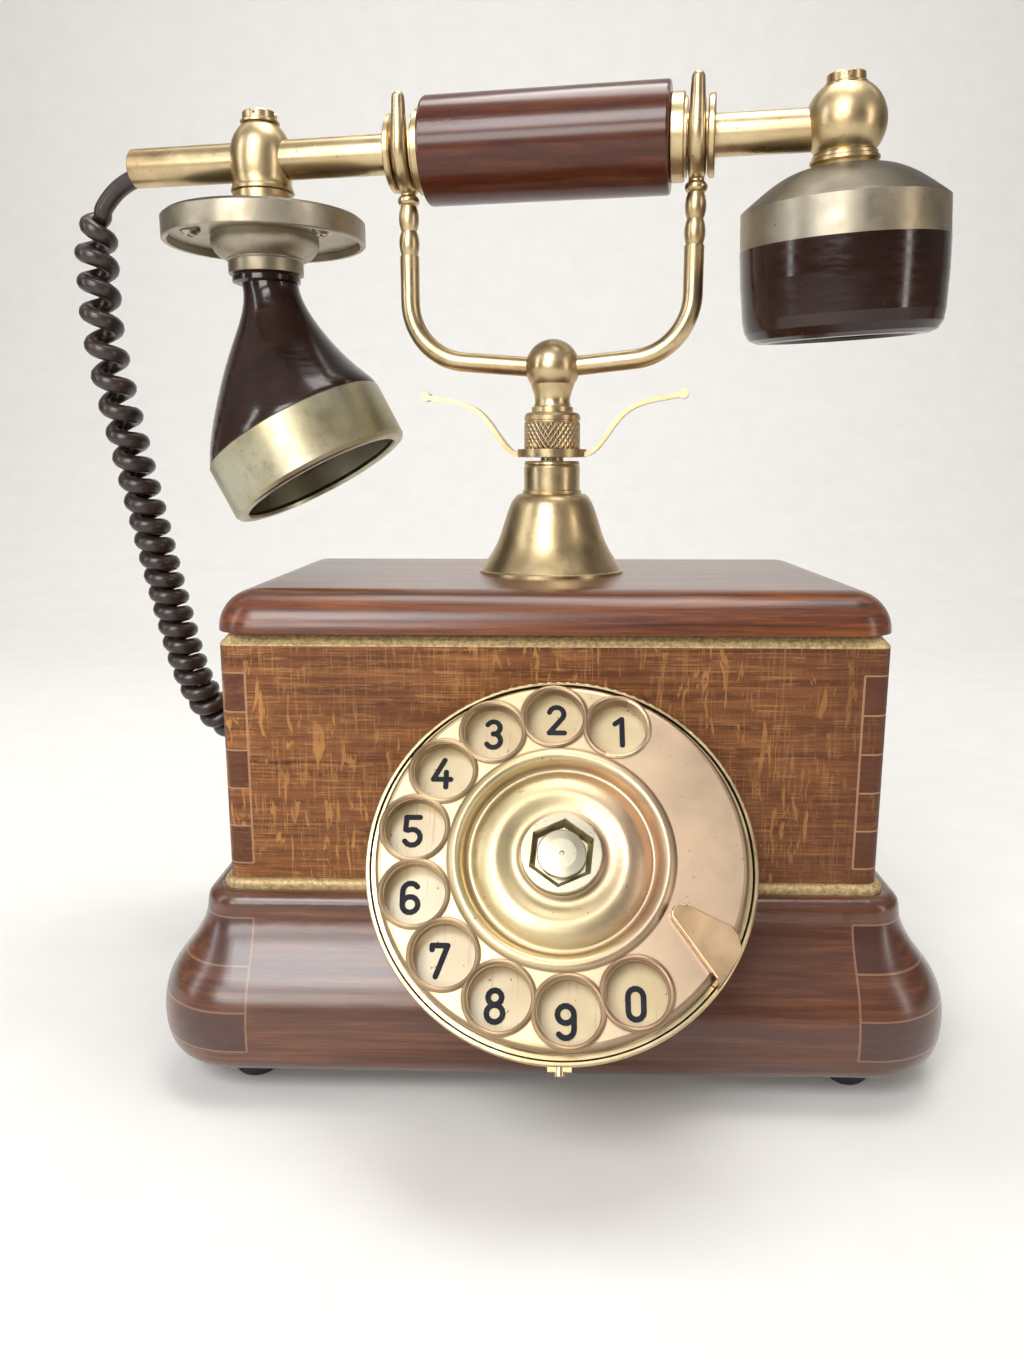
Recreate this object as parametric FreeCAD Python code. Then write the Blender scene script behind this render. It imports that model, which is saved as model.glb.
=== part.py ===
"""Rotary telephone: wooden case with a tilted dial, brass column cradle and a tube handset.

Millimetres, +Z up, +X to the user's right, the dial faces -Y. Everything is drawn about the
column's axis on the table plane; cradle and handset are drawn along X and then turned by
CRADLE_YAW, and the dial is drawn in its own plane and then tilted. At the end the whole is
moved by ORIGIN_SHIFT, so that the origin lies under the middle of its bounding box.
"""
import math
import os

import FreeCAD
import Part

V = FreeCAD.Vector
ORIGIN_SHIFT = V(9.0, 18.4, 0)

# Case
CASE_HALF_X = 75.5
CASE_HALF_Y = 50.0
CASE_CORNER = 3.0
BOARD = 6.0
BODY_LOW = 46.6
BODY_HIGH = 103.8
FINGER = 9.05
FINGER_LOW = 52.4
FINGER_COUNT = 3
SLAB_LOW = 106.6
SLAB_HIGH = 116.0
SLAB_ROUND = 9.2
SLAB_CORNER = 9.9
SLAB_OUT_X = 1.6
SLAB_OUT_Y = 0.8
GILT_SLOPE = 2.4
BEAD_OUT = 1.6
BEAD_HIGH = 48.8

# Moulded base: offset from the body face, height
BASE_LOW = 6.2
BASE_INNER = 7.0
BASE_FLAT = 8.6
OGEE = ((8.8, 6.2), (12.6, 7.2), (15.2, 9.6), (16.5, 13.0), (16.9, 17.0), (16.6, 21.0),
        (15.4, 25.4), (13.0, 29.6), (10.2, 33.2), (8.0, 36.4), (6.5, 39.4), (5.8, 42.4),
        (5.4, 44.8), (4.4, 46.1), (1.8, 46.6))
BASE_FINGERS = ((13.6, 22.8), (31.8, 41.2))
FLOOR_LOW = 8.2
FLOOR_THICK = 1.5
FOOT_RADIUS = 5.2
FOOT_X = 71.0
FOOT_Y = 50.0
GLAND_Z = 21.0
LINE_GLAND_X = 42.0
CORD_GLAND_X = -26.0
GLAND_R = 5.0
GLAND_BORE = 2.6
GLAND_SEAT = 64.4
GLAND_FACE = 66.6
GLAND_FLANGE = 7.0

# Column and cradle
COLUMN_TOP = 144.9
RING_LOW = 145.9
RING_HIGH = 147.9
COLLAR_HIGH = 157.2
BALL_Z = 168.5
BALL_R = 7.0
ROD_R = 2.45
ARM_LEFT = -37.6
ARM_RIGHT = 35.0
ARM_TOP = 196.7
FORK_CORNER_Z = 171.4
FORK_MID_Z = 168.2
FORK_BEND = 15.5
PLUNGER_R = 3.0
PLUNGER_BORE = 3.06
PLUNGER_LOW = 84.2
CRADLE_YAW = 9.3
PRONG_MAJOR = 7.9
PRONG_MINOR = 2.15
PRONG_TIP = 1.6
PRONG_TOP = 232.0

# Handset
AXIS_Z = 221.5
TUBE_R = 4.8
TUBE_BORE = 3.9
TUBE_LEFT = -113.3
TUBE_RIGHT = 64.0
GRIP_LEFT = -32.3
GRIP_RIGHT = 28.6
GRIP_R = 12.7
GROOVE_LEFT = -35.1
GROOVE_RIGHT = 32.5
MOUTH_X = -77.2
MOUTH_NUT_Z = 230.4
EAR_X = 69.2
EAR_BALL_Z = 222.6
EAR_BALL_R = 9.5
EAR_NUT_Z = 230.2
EAR_LEAN = 2.7
EAR_SWING = 4.5
MOUTH_DISC_R = 26.4
HORN_STEPS = ((-76.2, 190.9, 7.4, 0.0), (-75.5, 186.2, 8.0, 4.0), (-74.3, 176.6, 12.6, 8.0),
              (-73.1, 169.4, 16.8, 12.0), (-71.9, 162.0, 21.2, 19.0), (-70.9, 153.8, 25.2, 28.6))
HORN_TILT = 28.6
HORN_BAND_LONG = 15.6

# Dial
DIAL_X = 1.8
DIAL_Y = -81.4
DIAL_Z = 66.8
DIAL_TILT = 36.3
CUP_R = 39.9
CUP_INNER = 39.1
CUP_WALL = 0.8
CUP_STEP = -4.6
CUP_BACK_R = 36.0
CUP_BACK = -28.0
CUP_FRONT = -3.0
WHEEL_R = 37.6
HOLE_R = 6.1
HOLE_RING = 30.3
HOLE_FIRST = 66.9
HOLE_PITCH = 25.7
DIGIT_RING = 31.5
PLATE_FACE = -5.0
SHAFT_R = 2.5
MAIN_TEETH = 48
PINION_TEETH = 16
IDLE_TEETH = 32
MAIN_MODULE = 0.8
IDLE_MODULE = 0.55
MESH_EASE = 0.1
IDLE_V = MAIN_MODULE * (MAIN_TEETH + PINION_TEETH) / 2 + MESH_EASE
GOVERNOR_TURN = -20.0
GOVERNOR_REACH = IDLE_MODULE * (IDLE_TEETH + PINION_TEETH) / 2 + MESH_EASE

# Cord
WIRE_R = 2.35
COIL_R = 5.8
TAIL_POINTS = ((-97.0, 221.4), (-113.0, 221.3), (-126.3, 210.2), (-126.3, 194.0))
COIL_POINTS = ((-124.64, 20.41, 194.0), (-124.64, 20.41, 178.0), (-121.5, 28.5, 146.0),
               (-116.6, 35.3, 108.0), (-110.5, 41.5, 70.0), (-97.5, 55.0, 57.0),
               (-86.0, 67.0, 41.0), (-71.2, 77.5, 28.2), (-55.5, 82.7, 24.3))
END_POINTS = ((-55.45, 82.716, 24.288), (-39.8, 87.9, 20.4), (-26.0, 78.0, 20.8),
              (-26.0, 58.0, 21.0))


def box(x0, x1, y0, y1, z0, z1):
    """Axis-aligned block between six planes."""
    return Part.makeBox(x1 - x0, y1 - y0, z1 - z0, V(x0, y0, z0))


def rod(radius, start, end):
    """Round bar between two points."""
    a = V(*start)
    b = V(*end)
    return Part.makeCylinder(radius, (b - a).Length, a, b - a)


def joined(pieces):
    """One solid from overlapping pieces."""
    return pieces[0].multiFuse(pieces[1:]).removeSplitter()


def ring(outer, inner, low, high, x=0.0, y=0.0):
    """Flat washer or sleeve about a vertical axis."""
    body = rod(outer, (x, y, low), (x, y, high))
    return body.cut(rod(inner, (x, y, low - 1), (x, y, high + 1)))


def turned(outline, x=0.0, y=0.0):
    """Solid turned from a closed outline of (radius, height) points."""
    points = [V(r, 0, z) for r, z in outline]
    face = Part.Face(Part.makePolygon(points + points[:1]))
    body = face.revolve(V(0, 0, 0), V(0, 0, 1), 360)
    body.translate(V(x, y, 0))
    return Part.Solid(body) if body.ShapeType != "Solid" else body


def turned_smooth(curve, close):
    """Solid turned from a smooth outer curve closed by straight edges through close."""
    spline = Part.BSplineCurve()
    spline.interpolate([V(r, 0, z) for r, z in curve])
    tail = [curve[-1]] + list(close) + [curve[0]]
    edges = [spline.toShape()]
    for (r0, z0), (r1, z1) in zip(tail[:-1], tail[1:]):
        edges.append(Part.makeLine(V(r0, 0, z0), V(r1, 0, z1)))
    face = Part.Face(Part.Wire(edges))
    return face.revolve(V(0, 0, 0), V(0, 0, 1), 360)


def along_x(shape, x, z):
    """Lay a shape turned about Z on its side, its axis along +X from (x, 0, z)."""
    body = shape.copy()
    body.rotate(V(0, 0, 0), V(0, 1, 0), 90)
    body.translate(V(x, 0, z))
    return body


def prism(outline, low, high):
    """Straight prism on a polygon in the XY plane."""
    points = [V(x, y, low) for x, y in outline]
    return Part.Face(Part.makePolygon(points + points[:1])).extrude(V(0, 0, high - low))


def hexagon(across_corners, turn=0.0):
    """Corner points of a regular hexagon."""
    radius = across_corners / 2
    angles = [math.radians(turn + 60 * k) for k in range(6)]
    return [(radius * math.cos(a), radius * math.sin(a)) for a in angles]


def polygon_wire(outline, height):
    """Closed wire through plan points at one height."""
    points = [V(x, y, height) for x, y in outline]
    return Part.makePolygon(points + points[:1])


def edges_where(shape, test):
    """Edges whose centre of mass passes a test."""
    return [edge for edge in shape.Edges if test(edge)]


def rounded_block(half_x, half_y, low, high, corner):
    """Block about the column axis with rounded upright edges."""
    body = box(-half_x, half_x, -half_y, half_y, low, high)
    upright = edges_where(body, lambda e: abs(e.tangentAt(e.FirstParameter).z) > 0.9)
    return body.makeFillet(corner, upright)


def route_wire(points, share=0.45):
    """Straight runs joined by tangent arcs sized from the shorter neighbouring run."""
    points = [V(*p) for p in points]
    edges = []
    start = points[0]
    for before, corner, after in zip(points[:-2], points[1:-1], points[2:]):
        inward = (corner - before).normalize()
        outward = (after - corner).normalize()
        turn = inward.getAngle(outward)
        reach = share * min((corner - before).Length, (after - corner).Length)
        radius = reach / math.tan(turn / 2)
        a = corner - inward * reach
        b = corner + outward * reach
        bisector = (outward - inward).normalize()
        middle = corner + bisector * (radius / math.cos(turn / 2) - radius)
        edges.append(Part.LineSegment(start, a).toShape())
        edges.append(Part.Arc(a, middle, b).toShape())
        start = b
        print("bend radius %.1f mm, turn %.0f deg" % (radius, math.degrees(turn)))
    edges.append(Part.LineSegment(start, points[-1]).toShape())
    return Part.Wire(edges)


def swept(wire, radius):
    """Round bar swept along a wire."""
    first = wire.Edges[0]
    heading = first.tangentAt(first.FirstParameter)
    circle = Part.Wire(Part.makeCircle(radius, first.valueAt(first.FirstParameter), heading))
    return wire.makePipeShell([circle], True, True)


def on_dial(shape):
    """Carry a shape from the dial's own plane (x right, y up, z towards the user) into place."""
    body = shape.copy()
    body.rotate(V(0, 0, 0), V(1, 0, 0), 90 - DIAL_TILT)
    body.translate(V(DIAL_X, DIAL_Y, DIAL_Z))
    return body


def on_cradle(shape):
    """Turn a shape drawn along X to the cradle's yaw."""
    body = shape.copy()
    body.rotate(V(0, 0, 0), V(0, 0, 1), -CRADLE_YAW)
    return body


# ---- wooden case ----------------------------------------------------------------------


def body_envelope():
    """Outside of the upper case."""
    return rounded_block(CASE_HALF_X, CASE_HALF_Y, BODY_LOW, BODY_HIGH, CASE_CORNER)


def corner_fingers(side_x, side_y):
    """Blocks of the side board's joint fingers at one corner."""
    blocks = []
    xs = sorted((side_x * (CASE_HALF_X - BOARD), side_x * (CASE_HALF_X + 1)))
    ys = sorted((side_y * (CASE_HALF_Y - BOARD), side_y * (CASE_HALF_Y + 1)))
    for k in range(FINGER_COUNT):
        low = FINGER_LOW + 2 * FINGER * k
        blocks.append(box(xs[0], xs[1], ys[0], ys[1], low, low + FINGER))
    return blocks


def cross_board(side_y):
    """Front or back board: full width less the side boards' fingers."""
    ys = sorted((side_y * (CASE_HALF_Y - BOARD), side_y * (CASE_HALF_Y + 1)))
    body = body_envelope().common(box(-90, 90, ys[0], ys[1], BODY_LOW, BODY_HIGH))
    for side_x in (-1, 1):
        for block in corner_fingers(side_x, side_y):
            body = body.cut(block)
    return body


def cup_solid(ease):
    """Outside of the dial cup: a short straight rim, then a taper to the back."""
    front = CUP_FRONT + 9 * ease
    outline = ((0, CUP_BACK - ease), (CUP_BACK_R + ease, CUP_BACK - ease),
               (CUP_R + ease, CUP_STEP), (CUP_R + ease, front), (0, front))
    return turned(outline)


def front_board():
    """Front board with the slanting opening for the dial cup."""
    return cross_board(-1).cut(on_dial(cup_solid(0.4)))


def back_board():
    return cross_board(1)


def side_board(side_x):
    """Left or right board with its finger joints."""
    envelope = body_envelope()
    xs = sorted((side_x * (CASE_HALF_X - BOARD), side_x * (CASE_HALF_X + 1)))
    inner = CASE_HALF_Y - BOARD
    blocks = [box(xs[0], xs[1], -inner, inner, BODY_LOW, BODY_HIGH)]
    for side_y in (-1, 1):
        blocks += corner_fingers(side_x, side_y)
    return envelope.common(joined(blocks))


def left_board():
    return side_board(-1)


def right_board():
    return side_board(1)


def top_slab():
    """Lid with a full quarter-round edge and the column's hole."""
    half_x = CASE_HALF_X + SLAB_OUT_X
    half_y = CASE_HALF_Y + SLAB_OUT_Y
    body = rounded_block(half_x, half_y, SLAB_LOW, SLAB_HIGH, SLAB_CORNER)
    top = edges_where(body, lambda e: abs(e.CenterOfMass.z - SLAB_HIGH) < 1e-6)
    body = body.makeFillet(SLAB_ROUND, top)
    return body.cut(rod(5.1, (0, 0, SLAB_LOW - 1), (0, 0, SLAB_HIGH + 1)))


def gilt_cove():
    """Gilded neck between body and lid, sloping in towards the lid."""
    body = rounded_block(CASE_HALF_X, CASE_HALF_Y, BODY_HIGH, SLAB_LOW, CASE_CORNER)
    top = edges_where(body, lambda e: abs(e.CenterOfMass.z - SLAB_LOW) < 1e-6)
    body = body.makeChamfer(GILT_SLOPE, top)
    return body.cut(box(-68, 68, -42.5, 42.5, BODY_HIGH - 1, SLAB_LOW + 1))


def gilt_bead():
    """Gilded bead round the foot of the body."""
    body = rounded_block(CASE_HALF_X + BEAD_OUT, CASE_HALF_Y + BEAD_OUT, BODY_LOW,
                         BEAD_HIGH, CASE_CORNER + BEAD_OUT)
    top = edges_where(body, lambda e: abs(e.CenterOfMass.z - BEAD_HIGH) < 1e-6)
    body = body.makeFillet(1.3, top)
    return body.cut(body_envelope())


def moulded_frame():
    """The whole base frame: ogee profile run round the case with round corners."""
    core_x = CASE_HALF_X - CASE_CORNER
    core_y = CASE_HALF_Y - CASE_CORNER
    spline = Part.BSplineCurve()
    spline.interpolate([V(CASE_CORNER + o, 0, z) for o, z in OGEE])
    last = V(CASE_CORNER + OGEE[-1][0], 0, OGEE[-1][1])
    first = V(CASE_CORNER + OGEE[0][0], 0, OGEE[0][1])
    edges = [spline.toShape(),
             Part.makeLine(last, V(0, 0, BODY_LOW)),
             Part.makeLine(V(0, 0, BODY_LOW), V(0, 0, BASE_LOW)),
             Part.makeLine(V(0, 0, BASE_LOW), first)]
    profile = Part.Face(Part.Wire(edges))
    pieces = [box(-core_x, core_x, -core_y, core_y, BASE_LOW, BODY_LOW)]
    # heading of the profile, its station, and the run that follows it
    sides = ((0, V(core_x, -core_y, 0), V(0, 2 * core_y, 0)),
             (90, V(core_x, core_y, 0), V(-2 * core_x, 0, 0)),
             (180, V(-core_x, core_y, 0), V(0, -2 * core_y, 0)),
             (270, V(-core_x, -core_y, 0), V(2 * core_x, 0, 0)))
    for heading, station, run in sides:
        face = profile.copy()
        face.rotate(V(0, 0, 0), V(0, 0, 1), heading)
        face.translate(station)
        pieces.append(face.extrude(run))
        corner = profile.copy()
        corner.rotate(V(0, 0, 0), V(0, 0, 1), heading)
        corner.translate(station + run)
        pieces.append(corner.revolve(station + run, V(0, 0, 1), 90))
    frame = joined(pieces)
    inner_x = CASE_HALF_X - BASE_INNER
    inner_y = CASE_HALF_Y - BASE_INNER
    return frame.cut(box(-inner_x, inner_x, -inner_y, inner_y, 0, 60))


def base_board(side_x, side_y):
    """One moulded base board with its joint fingers; the idle axis is given as 0."""
    inner_x = CASE_HALF_X - BASE_INNER
    inner_y = CASE_HALF_Y - BASE_INNER
    blocks = []
    for low, high in BASE_FINGERS:
        for sx in (-1, 1):
            for sy in (-1, 1):
                xs = sorted((sx * inner_x, sx * 100))
                ys = sorted((sy * inner_y, sy * 80))
                blocks.append((sx, sy, box(xs[0], xs[1], ys[0], ys[1], low, high)))
    if side_x:
        xs = sorted((side_x * inner_x, side_x * 100))
        body = box(xs[0], xs[1], -inner_y, inner_y, 0, 60)
        body = joined([body] + [b for sx, sy, b in blocks if sx == side_x])
    else:
        ys = sorted((side_y * inner_y, side_y * 80))
        body = box(-100, 100, ys[0], ys[1], 0, 60)
        for sx, sy, block in blocks:
            if sy == side_y:
                body = body.cut(block)
    return moulded_frame().common(body)


def base_front():
    return base_board(0, -1)


def base_back():
    """Rear base board with the holes for both cord glands."""
    body = base_board(0, 1)
    for x in (LINE_GLAND_X, CORD_GLAND_X):
        body = body.cut(rod(GLAND_R, (x, 40, GLAND_Z), (x, 70, GLAND_Z)))
        body = body.cut(rod(GLAND_FLANGE + 0.3, (x, GLAND_SEAT, GLAND_Z), (x, 70, GLAND_Z)))
    return body


def base_left():
    return base_board(-1, 0)


def base_right():
    return base_board(1, 0)


def floor_plate():
    """Steel plate that closes the case and carries the works."""
    inner_x = CASE_HALF_X - BASE_INNER - 0.1
    inner_y = CASE_HALF_Y - BASE_INNER - 0.1
    return box(-inner_x, inner_x, -inner_y, inner_y, FLOOR_LOW, FLOOR_LOW + FLOOR_THICK)


def rubber_feet():
    """Four tapered feet under the base corners."""
    outline = ((0, 0), (FOOT_RADIUS - 1.2, 0), (FOOT_RADIUS - 0.5, 0.8),
               (FOOT_RADIUS, BASE_LOW), (0, BASE_LOW))
    feet = [turned(outline, sx * FOOT_X, sy * FOOT_Y) for sx in (-1, 1) for sy in (-1, 1)]
    return Part.makeCompound(feet)


def gland(x):
    """Flanged bush let into the rear board for a cord."""
    sleeve = rod(GLAND_R, (x, 41.5, GLAND_Z), (x, GLAND_SEAT, GLAND_Z))
    flange = rod(GLAND_FLANGE, (x, GLAND_SEAT, GLAND_Z), (x, GLAND_FACE, GLAND_Z))
    lip = edges_where(flange, lambda e: e.CenterOfMass.y > GLAND_FACE - 0.01)
    body = joined([sleeve, flange.makeFillet(1.0, lip)])
    return body.cut(rod(GLAND_BORE, (x, 40, GLAND_Z), (x, 70, GLAND_Z)))


def line_cord_gland():
    return gland(LINE_GLAND_X)


def handset_cord_gland():
    return gland(CORD_GLAND_X)


# ---- column and cradle ----------------------------------------------------------------


def column_bell():
    """Bell foot and barrel in one, with a threaded tail and its nut under the lid."""
    curve = ((18.6, 116.9), (17.1, 119.2), (15.3, 122.0), (13.7, 125.4), (12.5, 129.0),
             (11.3, 132.6), (9.9, 135.4), (8.6, 136.5))
    close = ((7.7, 136.7), (7.7, 137.4), (7.3, 137.6), (7.3, COLUMN_TOP - 1.6),
             (7.1, COLUMN_TOP - 1.2), (7.3, COLUMN_TOP - 0.8), (7.0, COLUMN_TOP),
             (PLUNGER_BORE, COLUMN_TOP), (PLUNGER_BORE, 97.0), (5.0, 97.0),
             (5.0, 116.0), (19.0, 116.0), (19.0, 116.6))
    body = turned_smooth(curve, close)
    nut = prism(hexagon(16.0), 101.0, SLAB_LOW).cut(rod(5.0, (0, 0, 100), (0, 0, 108)))
    return joined([body, nut])


def plunger_rod():
    """Rod from the cradle down to the hook lever, with a round lower tip."""
    shoulder = PLUNGER_LOW + PLUNGER_R
    tip = Part.makeSphere(PLUNGER_R, V(0, 0, shoulder))
    return joined([rod(PLUNGER_R, (0, 0, shoulder), (0, 0, 156.0)), tip])


def bent_strip(points, thickness, width):
    """Flat strip bent along points in the XZ plane, centred on Y."""
    upper = []
    lower = []
    count = len(points)
    for k, (x, z) in enumerate(points):
        x0, z0 = points[max(k - 1, 0)]
        x1, z1 = points[min(k + 1, count - 1)]
        length = math.hypot(x1 - x0, z1 - z0)
        nx = -(z1 - z0) / length * thickness / 2
        nz = (x1 - x0) / length * thickness / 2
        upper.append(V(x + nx, -width / 2, z + nz))
        lower.append(V(x - nx, -width / 2, z - nz))
    top = Part.BSplineCurve()
    top.interpolate(upper)
    bottom = Part.BSplineCurve()
    bottom.interpolate(lower)
    wire = Part.Wire([top.toShape(), Part.makeLine(upper[-1], lower[-1]), bottom.toShape(),
                      Part.makeLine(lower[0], upper[0])])
    return Part.Face(wire).extrude(V(0, width, 0))


def wing_ring():
    """Washer under the collar with two rising strip arms that end in small balls."""
    middle = (RING_LOW + RING_HIGH) / 2
    shape = ((6.0, middle), (10.4, middle + 0.3), (13.2, 150.0), (16.0, 153.9),
             (19.6, 157.6), (24.0, 159.6), (29.0, 160.6), (33.4, 161.4))
    pieces = [rod(9.0, (0, 0, RING_LOW), (0, 0, RING_HIGH))]
    for side in (-1, 1):
        pieces.append(bent_strip([(side * x, z) for x, z in shape], 1.1, 4.2))
        pieces.append(rod(1.15, (side * 33.6, -2.1, 161.5), (side * 33.6, 2.1, 161.5)))
    bore = rod(PLUNGER_R, (0, 0, 140), (0, 0, 160))
    return on_cradle(joined(pieces).cut(bore))


def knurled_collar():
    """Clamping collar with a smooth top band above the knurl."""
    outline = ((PLUNGER_R, RING_HIGH), (6.9, RING_HIGH), (7.25, RING_HIGH + 0.35),
               (7.25, 154.6), (7.05, 154.8), (7.05, 155.1), (7.25, 155.3), (7.25, 156.3),
               (6.9, 156.9), (6.3, COLLAR_HIGH), (PLUNGER_R, COLLAR_HIGH))
    return turned(outline)


def fork_wire():
    """Centre line of the cradle fork from one arm top to the other."""
    corners = ((ARM_LEFT, 0, ARM_TOP), (ARM_LEFT, 0, FORK_CORNER_Z), (0, 0, FORK_MID_Z),
               (ARM_RIGHT, 0, FORK_CORNER_Z), (ARM_RIGHT, 0, ARM_TOP))
    points = [V(*c) for c in corners]
    edges = []
    start = points[0]
    for before, corner, after in zip(points[:-2], points[1:-1], points[2:]):
        inward = (corner - before).normalize()
        outward = (after - corner).normalize()
        turn = inward.getAngle(outward)
        reach = FORK_BEND * math.tan(turn / 2)
        a = corner - inward * reach
        b = corner + outward * reach
        bisector = (outward - inward).normalize()
        middle = corner + bisector * (FORK_BEND / math.cos(turn / 2) - FORK_BEND)
        edges.append(Part.LineSegment(start, a).toShape())
        edges.append(Part.Arc(a, middle, b).toShape())
        start = b
    edges.append(Part.LineSegment(start, points[-1]).toShape())
    return Part.Wire(edges)


def fork_rod():
    return on_cradle(swept(fork_wire(), ROD_R))


def cradle_ball():
    """Waisted neck and ball that hold the fork."""
    neck_high = BALL_Z - math.sqrt(BALL_R ** 2 - 5.6 ** 2)
    curve = ((4.9, 158.7), (4.55, 160.0), (4.75, 161.6), (5.6, neck_high))
    neck = turned_smooth(curve, ((0, neck_high), (0, COLLAR_HIGH), (5.4, COLLAR_HIGH),
                                 (5.4, 158.5)))
    ball = Part.makeSphere(BALL_R, V(0, 0, BALL_Z))
    body = joined([neck, ball.cut(box(-9, 9, -9, 9, 150, neck_high - 0.4))])
    return on_cradle(body).cut(fork_rod())


def bead_column(x):
    """Turned beads at the top of one fork arm."""
    heights = ((196.7, 202.8, 2.6), (202.8, 208.8, 2.6), (208.8, 211.3, 2.75))
    edges = []
    waist = 2.0
    for low, high, bulge in heights:
        arc = Part.Arc(V(waist, 0, low), V(bulge, 0, (low + high) / 2), V(waist, 0, high))
        edges.append(arc.toShape())
    bottom = heights[0][0]
    top = heights[-1][1]
    edges.append(Part.makeLine(V(waist, 0, top), V(0, 0, top)))
    edges.append(Part.makeLine(V(0, 0, top), V(0, 0, bottom)))
    edges.append(Part.makeLine(V(0, 0, bottom), V(waist, 0, bottom)))
    body = Part.Face(Part.Wire(edges)).revolve(V(0, 0, 0), V(0, 0, 1), 360)
    body.translate(V(x, 0, 0))
    return body


def fork_beads():
    return on_cradle(Part.makeCompound([bead_column(ARM_LEFT), bead_column(ARM_RIGHT)]))


def prong_pair(x):
    """U-shaped rest with two tapered fingers, one before and one behind the tube."""
    half = Part.makeTorus(PRONG_MAJOR, PRONG_MINOR, V(0, 0, 0), V(1, 0, 0))
    half.translate(V(x, 0, AXIS_Z))
    pieces = [half.cut(box(x - 9, x + 9, -12, 12, AXIS_Z, AXIS_Z + 12)),
              rod(1.9, (x, 0, 211.3), (x, 0, AXIS_Z - PRONG_MAJOR))]
    for side in (-1, 1):
        y = side * PRONG_MAJOR
        pieces.append(Part.makeCone(PRONG_MINOR, PRONG_TIP, PRONG_TOP - AXIS_Z,
                                    V(x, y, AXIS_Z)))
        pieces.append(Part.makeSphere(PRONG_TIP, V(x, y, PRONG_TOP)))
    return joined(pieces)


def cradle_prongs():
    return on_cradle(Part.makeCompound([prong_pair(ARM_LEFT), prong_pair(ARM_RIGHT)]))


def hook_lever():
    """Rocking lever under the plunger, with its pivot boss."""
    arm = box(-3.5, 26, -3, 3, 82.2, 84.0)
    boss = rod(2.6, (20, -3, 82.0), (20, 3, 82.0))
    finger = box(24, 26, -3, 3, 82.2, 92.0)
    return joined([arm, boss, finger]).cut(rod(1.26, (20, -9, 82.0), (20, 9, 82.0)))


def hook_contacts():
    """Bracket below the lid with the lever's pivot pin and the contact leaf stack."""
    top = box(14, 44, -8, 8, 105.0, SLAB_LOW)
    cheeks = [box(16, 24, y, y + 1.5, 79.0, 105.0) for y in (-6.5, 5.0)]
    pin = rod(1.2, (20, -6.5, 82.0), (20, 6.5, 82.0))
    block = box(30, 41, -6, 6, 96.0, 105.0)
    leaves = [box(x, x + 0.6, -4, 4, 82.0, 96.0) for x in (30.5, 33.5, 36.5, 39.5)]
    return joined([top, pin, block] + cheeks + leaves)


# ---- dial -----------------------------------------------------------------------------


def dial_cup():
    """Spun cup let into the front board, its fixing ears, and the clamp screw below."""
    cup = cup_solid(0.0)
    lip = edges_where(cup, lambda e: e.CenterOfMass.z > CUP_FRONT - 0.01)
    cup = cup.makeFillet(0.35, lip)
    lug = box(-2.7, 1.9, -CUP_R - 0.8, -CUP_R + 1, -5.4, -3.4)
    head = rod(1.2, (-0.4, -CUP_R - 1.6, -4.4), (-0.4, -CUP_R, -4.4))
    wall = BOARD - CASE_HALF_Y
    ears = [box(x, x + 38, wall, wall + 1.6, 76, 84) for x in (-50, 12)]
    solid = joined([on_dial(joined([cup, lug, head]))] + ears)
    floor = CUP_BACK + 1
    inside = ((0, floor), (CUP_BACK_R - CUP_WALL, floor), (CUP_INNER, CUP_STEP), (CUP_INNER, 5), (0, 5))
    return solid.cut(on_dial(turned(inside)))


def stop_wall(ease=0.0):
    """Fold of the finger stop that runs down between wheel and cup."""
    outer = CUP_INNER + ease
    inner = 37.95 - ease
    body = rod(outer, (0, 0, -5.0 - ease), (0, 0, 2.0)).cut(rod(inner, (0, 0, -7), (0, 0, 3)))
    angles = [math.radians(a) for a in (-40.2 - 2 * ease, -28.2 + 2 * ease)]
    wedge = [(0, 0)] + [(60 * math.cos(a), 60 * math.sin(a)) for a in angles]
    return body.common(prism(wedge, -7, 3))


def finger_stop():
    """Wedge over the wheel, folded down at its outer end."""
    outline = ((21.2, -12.4), (21.3, -11.3), (21.9, -10.3), (22.9, -9.8), (24.2, -10.0),
               (33.0, -14.3), (34.0, -15.8), (34.4, -18.4), (29.8, -25.0))
    plate = prism(outline, 0.9, 2.0)
    rim = edges_where(plate, lambda e: e.CenterOfMass.z > 1.99)
    return on_dial(joined([plate.makeFillet(0.3, rim), stop_wall()]))


def number_plate():
    """Enamelled disc under the wheel."""
    return on_dial(ring(37.9, 3.2, -5.6, PLATE_FACE))


def dial_ring():
    """Thin brass ring round the edge of the number plate."""
    return on_dial(ring(38.7, 37.9, -5.6, -3.6).cut(stop_wall(0.1)))


def arc_points(cx, cy, radius, start, end, steps):
    """Points along a circular arc, angles in degrees."""
    angles = [math.radians(start + (end - start) * k / steps) for k in range(steps + 1)]
    return [(cx + radius * math.cos(a), cy + radius * math.sin(a)) for a in angles]


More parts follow.
